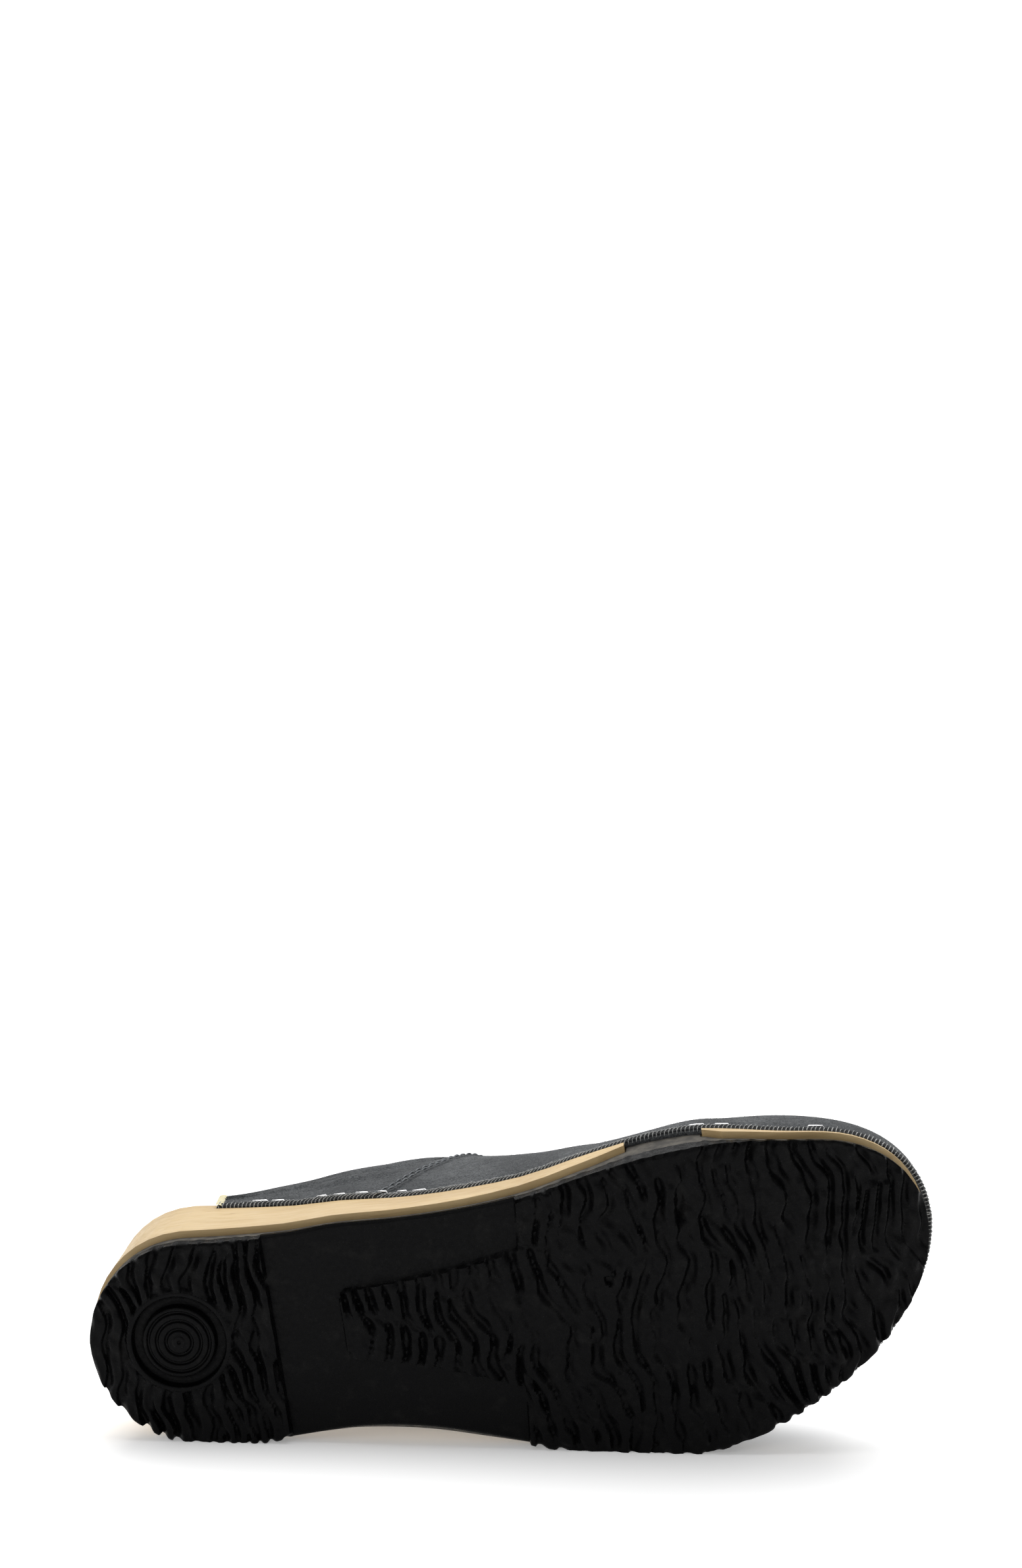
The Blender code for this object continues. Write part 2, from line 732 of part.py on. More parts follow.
def main():
    for item in list(bpy.data.objects):
        bpy.data.objects.remove(item, do_unlink=True)
    root = bpy.data.objects.new("shoe_pose", None)
    bpy.context.collection.objects.link(root)
    rubber = make_material("black rubber", (0.011, 0.011, 0.012), 0.55)
    wood = make_material("pale alder", (0.68, 0.44, 0.22), 0.5)
    suede = make_material("slate suede", (0.070, 0.078, 0.088), 0.95)
    make_outsole(root, rubber)
    make_wood(root, wood)
    make_upper(root, suede)
    bpy.context.view_layer.update()
    lay_down(root, {"outsole": RUBBER_DENSITY, "wood_sole_rear": WOOD_DENSITY,
                    "wood_sole_front": WOOD_DENSITY, "upper": SUEDE_DENSITY})


main()
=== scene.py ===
import json
import math

import bmesh
import bpy
import numpy as np
from mathutils import Matrix, Vector


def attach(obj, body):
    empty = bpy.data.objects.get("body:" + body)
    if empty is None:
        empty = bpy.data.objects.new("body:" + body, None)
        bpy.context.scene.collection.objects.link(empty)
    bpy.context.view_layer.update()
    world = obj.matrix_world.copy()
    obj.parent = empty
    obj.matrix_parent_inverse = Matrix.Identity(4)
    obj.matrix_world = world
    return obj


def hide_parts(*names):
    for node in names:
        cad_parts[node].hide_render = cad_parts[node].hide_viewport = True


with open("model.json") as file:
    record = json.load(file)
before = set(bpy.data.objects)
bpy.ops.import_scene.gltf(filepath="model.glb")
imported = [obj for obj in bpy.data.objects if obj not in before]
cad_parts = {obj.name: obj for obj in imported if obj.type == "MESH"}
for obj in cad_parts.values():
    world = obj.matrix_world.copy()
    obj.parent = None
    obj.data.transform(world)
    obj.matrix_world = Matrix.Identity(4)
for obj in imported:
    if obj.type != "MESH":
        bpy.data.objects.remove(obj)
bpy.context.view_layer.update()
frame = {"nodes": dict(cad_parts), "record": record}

MM = 0.001

# Driving sizes, as in the part's source
LENGTH = 255 * MM
BALL_WIDTH = 95.5 * MM
HEEL_WIDTH = 65 * MM
HEEL_HEIGHT = 29.5 * MM
BALL_HEIGHT = 14 * MM
TOE_SPRING = 11 * MM
INSTEP_HEIGHT = 80 * MM
TOE_BOX_HEIGHT = 51 * MM
RUBBER = 7.5 * MM
WAIST_RECESS = 2.6 * MM
HEEL_BREAST_X = 57 * MM
TREAD_FRONT_X = 131.7 * MM
TREAD_FRONT_SKEW = 3.1 * MM
TONGUE_REAR_X = 78 * MM
TONGUE_REAR_WIDTH = 23 * MM
TONGUE_FRONT_WIDTH = 45 * MM
TONGUE_LATERAL_SHARE = 0.47
TREAD_DEPTH = 1.6 * MM
STEP_RUN = 0.6 * MM
RING_X = 27.5 * MM
RING_MEDIAL_SHIFT = 2 * MM
RING_RIM_RADIUS = 16 * MM
RING_OUTER_RADIUS = 14.5 * MM
DISC_RADIUS = 11 * MM
RING_DEPTH = 2.8 * MM
BRIDGE_REAR_X = 168.5 * MM
BRIDGE_LENGTH = 23 * MM
BRIDGE_DROP = 1.0 * MM
RIM_BAND = 6 * MM
REBATE = 0.8 * MM
GAP = 0.3 * MM
WALL = 2.2 * MM
UPPER_GAP = 0.5 * MM
SEAM_STEP = 0.5 * MM
UPPER_REAR = 0.152
SEAM_FOOT = 0.352
SEAM_RUN = 0.15
COLLAR_FRONT = 0.455
HEEL_ROUND = 0.135
TOE_ROUND = 0.275
TOE_DOME_START = 0.70
TOE_DOME_POWER = 2.5
END_TURN = (0.24, 0.32, 0.70, 0.78)
UPPER_ROWS = 10
MEDIAL = -1
LATERAL = 1

# Sizes and counts that only the looks need
BARK_WAVES = 34
BARK_SPREAD = 0.15
BARK_TILT = 0.17
BARK_RUN = 6.5 * MM
BARK_REST = 0.2 * MM
TREAD_STATIONS = 560
TREAD_COLUMNS = 150
TONGUE_CORNER = 3 * MM
DISC_RELIEF = -0.04 * MM
GROOVE_HALF = 0.5
COLLAR_STATIONS = 70
FRONT_STATIONS = 110
LOCK_PITCH = 1.25 * MM
LOCK_HEIGHT = 2.7 * MM
LOCK_RADIUS = 0.17 * MM
EDGE_OVERHANG = 0.14 * MM
SEAM_ROWS = (1.5 * MM, 3.4 * MM)
STITCH_PITCH = 3.2 * MM
STITCH_RADIUS = 0.27 * MM
HOLE_RADIUS = 0.42 * MM
HOLE_SIDES = 9
STAPLE_HALF = 1.9 * MM
STAPLE_HEIGHT = 2.9 * MM
STAPLE_RADIUS = 0.3 * MM
FOLD_WIDTH = 1.7 * MM
FIBRES_PER_SIDE = 15000
FIBRE_HALF_WIDTH = 0.035 * MM
FIBRE_ROOT = 0.05 * MM

# Rows: length share; centre line towards the medial side; half width; heel blend
PLAN = (
    (0.00,    0.024,  0.500, 1.0),
    (0.07,    0.018,  0.504, 1.0),
    (0.16,    0.003,  0.504, 1.0),
    (0.25,    0.006,  0.494, 1.0),
    (0.31,    0.014,  0.498, 1.0),
    (0.385,   0.000,  0.513, 1.0),
    (0.46,   -0.024,  0.379, 0.0),
    (0.54,   -0.045,  0.423, 0.0),
    (0.62,   -0.044,  0.472, 0.0),
    (0.69,   -0.035,  0.497, 0.0),
    (0.77,   -0.010,  0.492, 0.0),
    (0.85,    0.024,  0.479, 0.0),
    (0.93,    0.070,  0.492, 0.0),
    (1.00,    0.108,  0.500, 0.0),
)

# Rows: length share; wall height; heel lift; rubber; medial flare; lateral flare
SIDE = (
    (0.00,   1.00,  1.03,  1.00, -0.10, -0.10),
    (0.10,   1.00,  1.00,  1.00, -0.12,  0.10),
    (0.20,   1.00,  0.95,  1.00, -0.25,  0.25),
    (0.27,   1.00,  0.80,  0.94, -0.30,  0.55),
    (0.33,   1.00,  0.62,  0.90, -0.30,  0.80),
    (0.39,   1.00,  0.48,  0.90, -0.27,  0.85),
    (0.46,   1.00,  0.36,  0.92, -0.20,  0.65),
    (0.52,   1.00,  0.26,  1.00, -0.15,  0.35),
    (0.58,   1.00,  0.13,  1.03, -0.06,  0.15),
    (0.62,   1.00,  0.06,  1.08, -0.03,  0.05),
    (0.66,   1.00,  0.02,  1.45,  0.00,  0.00),
    (0.71,   0.97,  0.00,  1.50,  0.00,  0.00),
    (0.752,  0.86,  0.00,  1.35, -0.04,  0.02),
    (0.775,  0.77,  0.00,  0.88, -0.10,  0.05),
    (0.82,   0.66,  0.00,  0.74, -0.18,  0.08),
    (0.87,   0.60,  0.00,  0.70, -0.22,  0.05),
    (0.93,   0.56,  0.00,  0.68, -0.20, -0.05),
    (1.00,   0.55,  0.00,  0.68, -0.12, -0.12),
)

# Rows: length share; crown height; medial lean; lateral lean; fullness; topline
CROWN = (
    (0.150,  0.92,   0.00,  0.00,  0.62, 0.060),
    (0.185,  0.97,   0.02,  0.02,  0.60, 0.125),
    (0.220,  1.00,   0.04,  0.04,  0.58, 0.215),
    (0.270,  1.04,   0.05,  0.06,  0.56, 0.340),
    (0.330,  1.06,   0.05,  0.06,  0.55, 0.510),
    (0.390,  1.05,   0.06,  0.06,  0.55, 0.740),
    (0.425,  1.03,   0.06,  0.06,  0.56, 0.890),
    (0.445,  1.01,   0.06,  0.06,  0.57, 0.972),
    (0.455,  1.00,   0.06,  0.06,  0.58, 1.000),
    (0.520,  0.84,   0.04,  0.05,  0.64, 1.000),
    (0.580,  0.63,  -0.05,  0.04,  0.70, 1.000),
    (0.650,  0.40,  -0.15,  0.04,  0.72, 1.000),
    (0.700,  0.27,  -0.15,  0.04,  0.72, 1.000),
    (0.760,  0.13,  -0.06,  0.04,  0.72, 1.000),
    (0.820,  0.04,   0.00,  0.03,  0.72, 1.000),
    (0.900,  0.00,   0.02,  0.03,  0.70, 1.000),
    (1.000,  0.00,   0.00,  0.00,  0.70, 1.000),
)

# Pitch of the bark-like tread. Rows: length share; pitch in mm
TREAD_PITCH = ((0.0, 4.6), (0.22, 4.8), (0.40, 5.4), (0.52, 6.2), (0.70, 6.0), (0.85, 5.0), (1.0, 4.4))

# Wire staples along the lower edge of the upper, as shares of the length
MEDIAL_STAPLES = (0.202, 0.224, 0.275, 0.297, 0.323, 0.347, 0.370, 0.394, 0.743, 0.773, 0.883)
LATERAL_STAPLES = (0.20, 0.232, 0.262, 0.30, 0.33, 0.362, 0.40, 0.46, 0.49, 0.53, 0.57, 0.61,
                   0.745, 0.78, 0.81, 0.85, 0.89)

# Turned rings of the heel disc. Rows: radius in mm; depth in mm
DISC_GROOVES = ((9.4, 0.8), (6.8, 0.75), (4.0, 0.75))

# Flex creases across the upper. Rows: length share at its foot; depth in mm; run towards the toe
CREASES = ((0.640, 0.8, 0.012), (0.668, 1.0, 0.004), (0.697, 0.7, -0.008))

# Path of a staple. Rows: place along it, as a share of its half; height over the suede in mm; sag in bands
STAPLE_PATH = (
    (-1.08, -0.50, 0.00),
    (-1.04,  0.20, 0.00),
    (-0.90,  0.42, 0.00),
    (0.00,   0.46, 0.02),
    (0.90,   0.42, 0.00),
    (1.04,   0.20, 0.00),
    (1.08,  -0.50, 0.00),
)


# Shapes in the shoe's own frame: x to the toe, y to the lateral side, z up from the tread

def ease(low, high, value):
    share = np.clip((value - low) / (high - low), 0, 1)
    return share * share * (3 - 2 * share)


def blend(a, b, share):
    return a + (b - a) * share


def read(table, column, share):
    keys = np.array([row[0] for row in table])
    values = np.array([row[column] for row in table])
    last = len(keys) - 1
    share = np.clip(share, keys[0], keys[last])
    i = np.clip(np.searchsorted(keys, share, side="right") - 1, 0, last - 1)
    low = np.maximum(0, np.arange(last + 1) - 1)
    high = np.minimum(last, np.arange(last + 1) + 1)
    slope = (values[high] - values[low]) / (keys[high] - keys[low])
    span = keys[i + 1] - keys[i]
    t = (share - keys[i]) / span
    return ((2 * t**3 - 3 * t**2 + 1) * values[i] + (t**3 - 2 * t**2 + t) * slope[i] * span
            + (3 * t**2 - 2 * t**3) * values[i + 1] + (t**3 - t**2) * slope[i + 1] * span)


def toe_rise(share):
    return TOE_SPRING * np.clip((share - 0.70) / 0.30, 0, 1) ** 1.8


def edge_height(share):
    lift = (HEEL_HEIGHT - BALL_HEIGHT) * read(SIDE, 2, share)
    return BALL_HEIGHT * read(SIDE, 1, share) + lift + toe_rise(share)


def joint_height(share):
    return RUBBER * read(SIDE, 3, share) + toe_rise(share)


def rim_height(share):
    return edge_height(share) + RIM_BAND


HALF = tuple((row[0], row[2] * blend(BALL_WIDTH, HEEL_WIDTH, row[3])) for row in PLAN)


def half_width(share):
    return read(HALF, 1, share)


def end_rounding(share):
    heel = np.clip(1 - share / HEEL_ROUND, 0, 1)
    toe = np.clip((share - 1 + TOE_ROUND) / TOE_ROUND, 0, 1)
    return np.sqrt(np.maximum(0, (1 - heel * heel) * (1 - toe * toe)))


def outline(side, turn):
    share = (1 - np.cos(turn)) / 2
    centre = -BALL_WIDTH * read(PLAN, 1, share)
    return LENGTH * share, centre + side * half_width(share) * end_rounding(share)


def outward(side, turn):
    x_low, y_low = outline(side, np.maximum(0, turn - 1e-4))
    x_high, y_high = outline(side, np.minimum(math.pi, turn + 1e-4))
    nx, ny = (y_high - y_low) * -side, (x_high - x_low) * side
    size = np.hypot(nx, ny)
    nx, ny = nx / size, ny / size
    share = (1 - np.cos(turn)) / 2
    a, b, c, d = END_TURN
    nx = nx * (1 - ease(a, b, share) * (1 - ease(c, d, share)))
    size = np.hypot(nx, ny)
    return nx / size, ny / size


def side_point(side, share, offset, height):
    turn = np.arccos(1 - 2 * np.clip(share, 0, 1))
    x, y = outline(side, turn)
    nx, ny = outward(side, turn)
    parts = np.broadcast_arrays(x + nx * offset, y + ny * offset, height)
    return np.stack(parts, -1)


def flare(side, share, height):
    full = RUBBER * read(SIDE, 4 if side == MEDIAL else 5, share)
    rise = (height - toe_rise(share)) / (edge_height(share) - toe_rise(share))
    return full * np.clip(rise, 0, 1)


def lean(side, share):
    return read(CROWN, 2 if side == MEDIAL else 3, share)


def rebate(share):
    return REBATE * ease(UPPER_REAR - 0.02, UPPER_REAR, share)


def rim_offset(side, share, height):
    above = height - edge_height(share)
    return flare(side, share, height) - rebate(share) + np.minimum(0, lean(side, share)) * above


def toe_dome(share):
    along = np.clip((share - TOE_DOME_START) / (1 - TOE_DOME_START), 0, 1)
    return np.maximum(0, 1 - along ** TOE_DOME_POWER) ** (1 / TOE_DOME_POWER)


def crown_rise(share):
    crown = blend(TOE_BOX_HEIGHT, INSTEP_HEIGHT, read(CROWN, 1, share))
    return (crown - rim_height(share)) * toe_dome(share)


def seam_lean(station, row):
    window = ease(UPPER_REAR, SEAM_FOOT, station) * (1 - ease(SEAM_FOOT, 0.97, station))
    return SEAM_RUN * window * np.sin(math.pi / 2 * row / UPPER_ROWS)


def upper_point(side, station, row, depth):
    """Point of the upper under its outer face; row runs from 0 at the lower edge to 10."""
    station, row, depth = np.broadcast_arrays(station, row, depth)
    share = station + seam_lean(station, row)
    top_share = station + seam_lean(station, UPPER_ROWS)
    top = np.arcsin(np.clip(read(CROWN, 5, top_share), 0, 1))
    top = np.where(top_share > COLLAR_FRONT - 1e-6, math.pi / 2, top)
    band = np.clip(row, 0, 1)
    angle = top * np.clip((row - 1) / (UPPER_ROWS - 1), 0, 1)
    level = edge_height(share) + GAP
    rise = crown_rise(share) * (1 - depth / (INSTEP_HEIGHT - BALL_HEIGHT))
    offset = UPPER_GAP - rebate(share) + WALL - depth
    ends = {}
    for each in (MEDIAL, LATERAL):
        out = flare(each, share, level) + offset + lean(each, share) * RIM_BAND * band
        ends[each] = side_point(each, share, out, level)
    middle = (ends[MEDIAL] + ends[LATERAL]) / 2
    reach = np.maximum(0, np.cos(angle)) ** read(CROWN, 4, share)
    point = middle + (ends[side] - middle) * reach[..., None]
    point[..., 1] += side * lean(side, share) * rise * np.sin(angle) * np.cos(angle)
    point[..., 2] = level + RIM_BAND * band + rise * np.sin(angle)
    return point


# How the shoe lies, from the mount on the disc under the heel

def find_shoe():
    mount = next(m for m in frame["record"]["mounts"] if m["name"] == "heel_tread")
    up = -Vector(mount["axis"]).normalized()
    turn = math.atan2(-up.x, up.z)
    forward = Vector((math.cos(turn), 0, math.sin(turn)))
    lateral = up.cross(forward)
    axes = Matrix((forward, lateral, up)).transposed()
    share = RING_X / LENGTH
    sides = [side_point(side, share, 0.0, 0.0) for side in (MEDIAL, LATERAL)]
    middle = (sides[0][1] + sides[1][1]) / 2 - RING_MEDIAL_SHIFT
    centre = Vector((RING_X, middle, 0))
    place = axes.to_4x4()
    place.translation = Vector(mount["pos_m"]) - axes @ centre
    return place, centre


SHOE, RING_CENTRE = find_shoe()


def to_world(points):
    turn = np.array(SHOE.to_3x3())
    return np.asarray(points).reshape(-1, 3) @ turn.T + np.array(SHOE.translation)


# Noise in the shoe's own frame

def smooth_noise(seed, x, y, size_x, size_y, count=14):
    """Slow waves with a spread of directions, about 1 in height."""
    dice = np.random.default_rng(seed)
    total = 0
    for _ in range(count):
        angle = dice.uniform(0, 2 * math.pi)
        speed = 2 * math.pi * dice.uniform(0.5, 1.2)
        phase = dice.uniform(0, 2 * math.pi)
        total = total + np.cos(speed * (math.cos(angle) * x / size_x + math.sin(angle) * y / size_y)
                               + phase)
    return total / math.sqrt(count / 2)


def bark_noise(seed, x, y):
    """Stripes across the shoe that branch and merge: place in its stripe, 0 to 1, and its clearness."""
    fine = np.linspace(0, 1, 500)
    pitch = np.interp(fine, [row[0] for row in TREAD_PITCH], [row[1] for row in TREAD_PITCH]) * MM
    step = LENGTH / (len(fine) - 1)
    count = np.concatenate([[0], np.cumsum(step / ((pitch[1:] + pitch[:-1]) / 2))])
    bent = x + 1.3 * MM * smooth_noise(seed + 1, x, y, 34 * MM, 22 * MM)
    u = np.interp(bent / LENGTH, fine, count)
    v = y / BARK_RUN
    dice = np.random.default_rng(seed)
    even = 0
    odd = 0
    for _ in range(BARK_WAVES):
        speed = 2 * math.pi * (1 + BARK_SPREAD * dice.normal())
        angle = BARK_TILT * dice.normal()
        wave = speed * (math.cos(angle) * u + math.sin(angle) * v) + dice.uniform(0, 2 * math.pi)
        even = even + np.cos(wave)
        odd = odd + np.sin(wave)
    place = (np.arctan2(odd, even) / (2 * math.pi)) % 1
    return place, np.hypot(even, odd) / math.sqrt(BARK_WAVES)


# Mesh helpers

def grid_faces(rows, columns, wrap=False):
    last = columns if wrap else columns - 1
    i, j = np.meshgrid(np.arange(rows - 1), np.arange(last), indexing="ij")
    k = (j + 1) % columns
    corners = (i * columns + j, i * columns + k, (i + 1) * columns + k, (i + 1) * columns + j)
    return np.stack(corners, -1).reshape(-1, 4)


class Piece:
    """Collects points and faces in the shoe's frame, then makes one object of them.

    A finish is the number of the material that a face takes, counted from 0.
    """

    def __init__(self, name):
        self.name = name
        self.points = []
        self.faces = []
        self.finishes = []
        self.count = 0

    def add(self, points, faces, finishes=None):
        points = np.asarray(points, float).reshape(-1, 3)
        self.faces += (np.asarray(faces) + self.count).tolist()
        self.finishes += [0] * len(faces) if finishes is None else list(finishes)
        self.points.append(points)
        self.count += len(points)

    def add_grid(self, points, wrap=False, finishes=None):
        rows, columns = points.shape[:2]
        self.add(points, grid_faces(rows, columns, wrap), finishes)

    def make(self, materials, merge=0.0, sharp=180, recalc=True):
        points = to_world(np.concatenate(self.points))
        floor = 0
        points[:, 2] = np.maximum(points[:, 2], floor)
        mesh = bpy.data.meshes.new(self.name)
        mesh.from_pydata(points.tolist(), [], self.faces)
        mesh.polygons.foreach_set("material_index", self.finishes)
        data = bmesh.new()
        data.from_mesh(mesh)
        if merge:
            bmesh.ops.remove_doubles(data, verts=data.verts, dist=merge)
            bmesh.ops.dissolve_degenerate(data, edges=data.edges, dist=merge / 2)
        if recalc:
            bmesh.ops.recalc_face_normals(data, faces=data.faces)
        data.to_mesh(mesh)
        data.free()
        for material in materials:
            mesh.materials.append(material)
        mesh.shade_smooth()
        if sharp < 180:
            mesh.set_sharp_from_angle(angle=math.radians(sharp))
        item = bpy.data.objects.new(self.name, mesh)
        bpy.context.scene.collection.objects.link(item)
        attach(item, "root")
        return item


def add_tube(piece, path, radius, sides=6, taper=0.6):
    """Round strand along a short path, open and slightly thinner at its ends."""
    path = np.asarray(path, float)
    guide = np.array((0.3, 0.2, 1.0))
    tiny = 1e-12
    along = np.gradient(path, axis=0)
    along /= np.linalg.norm(along, axis=1)[:, None] + tiny
    first = np.cross(along, guide)
    first /= np.linalg.norm(first, axis=1)[:, None] + tiny
    second = np.cross(along, first)
    sizes = np.full(len(path), radius)
    sizes[0] *= taper
    sizes[-1] *= taper
    turns = np.linspace(0, 2 * math.pi, sides, endpoint=False)
    ring = np.cos(turns)[None, :, None] * first[:, None] + np.sin(turns)[None, :, None] * second[:, None]
    piece.add_grid(path[:, None] + ring * sizes[:, None, None], wrap=True)


# Material helpers

class Look:
    """A Principled material with a few procedural layers in the shoe's own frame."""

    def __init__(self, name, colour, roughness, specular=0.5, sheen=0.0, sheen_roughness=0.5):
        self.material = bpy.data.materials.new(name)
        self.material.use_nodes = True
        self.nodes = self.material.node_tree.nodes
        self.links = self.material.node_tree.links
        self.shader = self.nodes["Principled BSDF"]
        self.shader.inputs["Base Color"].default_value = (*colour, 1)
        self.shader.inputs["Roughness"].default_value = roughness
        self.shader.inputs["Specular IOR Level"].default_value = specular
        self.shader.inputs["Sheen Weight"].default_value = sheen
        self.shader.inputs["Sheen Roughness"].default_value = sheen_roughness
        where = self.nodes.new("ShaderNodeTexCoord")
        place = self.nodes.new("ShaderNodeMapping")
        place.vector_type = "TEXTURE"
        place.inputs["Location"].default_value = SHOE.translation
        place.inputs["Rotation"].default_value = SHOE.to_euler()
        self.links.new(where.outputs["Object"], place.inputs["Vector"])
        self.place = place.outputs["Vector"]
        self.normal = None

    def stretched(self, scale):
        node = self.nodes.new("ShaderNodeMapping")
        node.inputs["Scale"].default_value = scale
        self.links.new(self.place, node.inputs["Vector"])
        return node.outputs["Vector"]

    def noise(self, scale, detail=3.0, roughness=0.55, distortion=0.0, stretch=(1, 1, 1)):
        node = self.nodes.new("ShaderNodeTexNoise")
        node.inputs["Scale"].default_value = scale
        node.inputs["Detail"].default_value = detail
        node.inputs["Roughness"].default_value = roughness
        node.inputs["Distortion"].default_value = distortion
        self.links.new(self.stretched(stretch), node.inputs["Vector"])
        return node.outputs["Fac"]

    def cells(self, scale, stretch):
        node = self.nodes.new("ShaderNodeTexVoronoi")
        node.inputs["Scale"].default_value = scale
        self.links.new(self.stretched(stretch), node.inputs["Vector"])
        return node.outputs["Distance"]

    def span(self, value, low, high, out_low=0.0, out_high=1.0):
        node = self.nodes.new("ShaderNodeMapRange")
        node.interpolation_type = "SMOOTHSTEP"
        for name, number in (("From Min", low), ("From Max", high), ("To Min", out_low),
                             ("To Max", out_high)):
            node.inputs[name].default_value = number
        self.links.new(value, node.inputs["Value"])
        return node.outputs["Result"]

    def mix(self, share, first, second):
        node = self.nodes.new("ShaderNodeMix")
        node.data_type = "RGBA"
        for socket, value in ((node.inputs[0], share), (node.inputs[6], first),
                              (node.inputs[7], second)):
            if isinstance(value, bpy.types.NodeSocket):
                self.links.new(value, socket)
            elif isinstance(value, tuple):
                socket.default_value = (*value, 1)
            else:
                socket.default_value = value
        return node.outputs[2]

    def math(self, operation, first, second):
        node = self.nodes.new("ShaderNodeMath")
        node.operation = operation
        for socket, value in zip(node.inputs, (first, second)):
            if isinstance(value, bpy.types.NodeSocket):
                self.links.new(value, socket)
            else:
                socket.default_value = value
        return node.outputs[0]

    def colour(self, socket):
        self.links.new(socket, self.shader.inputs["Base Color"])

    def rough(self, socket):
        self.links.new(socket, self.shader.inputs["Roughness"])

    def bump(self, height, distance, strength=1.0):
        node = self.nodes.new("ShaderNodeBump")
        node.inputs["Strength"].default_value = strength
        node.inputs["Distance"].default_value = distance
        self.links.new(height, node.inputs["Height"])
        if self.normal:
            self.links.new(self.normal, node.inputs["Normal"])
        self.normal = node.outputs["Normal"]
        self.links.new(self.normal, self.shader.inputs["Normal"])


def rubber_look():
    look = Look("tread_rubber", (0.003, 0.003, 0.0032), 0.35, specular=0.055)
    dust = look.span(look.noise(160, 4.0, 0.6), 0.52, 0.72)
    look.colour(look.mix(dust, (0.0016, 0.0016, 0.0018), (0.0042, 0.0041, 0.004)))
    look.rough(look.span(look.noise(700, 3.0), 0.35, 0.65, 0.24, 0.46))
    look.bump(look.noise(1500, 4.0, 0.65), 0.12 * MM, 0.7)
    look.bump(look.noise(330, 3.0, 0.5), 0.25 * MM, 0.5)
    return look.material


def rubber_wall_look():
    # The wall rubber takes a far lighter base colour than the tread rubber: painted light for the sides
    # that face up to the lamp, with random dust mottling over it.
    look = Look("dusty_rubber_wall_painted_light", (0.06, 0.056, 0.05), 0.8, specular=0.2)
    dust = look.span(look.noise(240, 4.0, 0.6), 0.35, 0.7)
    look.colour(look.mix(dust, (0.046, 0.043, 0.039), (0.095, 0.087, 0.074)))
    look.bump(look.noise(1300, 4.0, 0.65), 0.1 * MM, 0.7)
    return look.material


def wood_look():
    look = Look("pale_alder", (0.72, 0.47, 0.23), 0.5, specular=0.35)
    bands = look.noise(150, 4.0, 0.55, 0.6, (0.09, 1.0, 0.8))
    fibres = look.noise(1400, 3.0, 0.6, 0.0, (0.06, 1, 1))
    patches = look.span(look.noise(35, 3.0), 0.35, 0.7)
    tone = look.mix(look.span(bands, 0.35, 0.68), (0.50, 0.365, 0.185), (0.40, 0.275, 0.128))
    tone = look.mix(look.math("MULTIPLY", patches, 0.35), tone, (0.53, 0.40, 0.215))
    tone = look.mix(look.span(fibres, 0.5, 0.78, 0.0, 0.4), tone, (0.33, 0.21, 0.092))
    flecks = look.span(look.cells(420, (0.22, 1, 1)), 0.05, 0.13, 1.0, 0.0)
    where = look.span(look.noise(60, 2.0), 0.55, 0.66)
    tone = look.mix(look.math("MULTIPLY", flecks, where), tone, (0.13, 0.06, 0.03))
    look.colour(tone)
    look.rough(look.span(fibres, 0.3, 0.7, 0.42, 0.6))
    look.bump(fibres, 0.06 * MM, 0.6)
    return look.material


def suede_look(name, dark, light):
    look = Look(name, dark, 0.95, specular=0.1, sheen=0.12, sheen_roughness=0.5)
    nap = look.noise(1900, 4.0, 0.7)
    clumps = look.noise(420, 3.0, 0.6)
    slow = look.span(look.noise(48, 3.0), 0.35, 0.62)
    tone = look.mix(look.span(nap, 0.32, 0.72), dark, light)
    tone = look.mix(look.span(clumps, 0.45, 0.75, 0.0, 0.5), tone, light)
    tone = look.mix(look.math("MULTIPLY", slow, 0.42), tone, tuple(value * 0.75 for value in dark))
    look.colour(tone)
    look.bump(nap, 0.35 * MM, 0.9)
    look.bump(clumps, 0.6 * MM, 0.8)
    return look.material


def lining_look():
    look = Look("cream_lining", (0.72, 0.69, 0.42), 0.85, specular=0.2, sheen=0.15)
    grain = look.noise(900, 4.0, 0.6)
    patches = look.span(look.noise(70, 3.0), 0.4, 0.7)
    tone = look.mix(look.span(grain, 0.3, 0.75), (0.60, 0.54, 0.34), (0.47, 0.41, 0.24))
    look.colour(look.mix(look.math("MULTIPLY", patches, 0.4), tone, (0.66, 0.62, 0.44)))
    look.bump(grain, 0.12 * MM, 0.7)
    return look.material


def thread_look(name, dark, light):
    look = Look(name, dark, 0.75, specular=0.25, sheen=0.2)
    twist = look.noise(2600, 2.0, 0.5)
    look.colour(look.mix(look.span(twist, 0.35, 0.65), dark, light))
    look.bump(twist, 0.08 * MM, 0.7)
    return look.material


def steel_look():
    look = Look("staple_wire", (0.80, 0.80, 0.80), 0.28)
    look.shader.inputs["Metallic"].default_value = 1
    look.rough(look.span(look.noise(1200, 3.0), 0.3, 0.7, 0.2, 0.42))
    look.bump(look.noise(1800, 2.0), 0.03 * MM, 0.5)
    return look.material


RUBBER_LOOK = rubber_look()
WALL_LOOK = rubber_wall_look()
WOOD_LOOK = wood_look()
SUEDE_LOOK = suede_look("slate_suede", (0.020, 0.022, 0.025), (0.118, 0.124, 0.128))
FUZZ_LOOK = suede_look("suede_fuzz", (0.055, 0.059, 0.062), (0.15, 0.155, 0.158))
# Very dark suede for the overlock band and the needle holes: partly the cut edge's own colour, partly
# painted shade between the loops and inside the holes.
CUT_EDGE_AND_SHADE_LOOK = suede_look("cut_edge_and_painted_shade", (0.008, 0.0085, 0.009), (0.024, 0.025, 0.026))
LINING_LOOK = lining_look()
LOCK_LOOK = thread_look("overlock_thread", (0.13, 0.135, 0.135), (0.40, 0.40, 0.39))
STITCH_LOOK = thread_look("seam_thread", (0.085, 0.095, 0.105), (0.17, 0.18, 0.19))
STEEL_LOOK = steel_look()


# Outsole

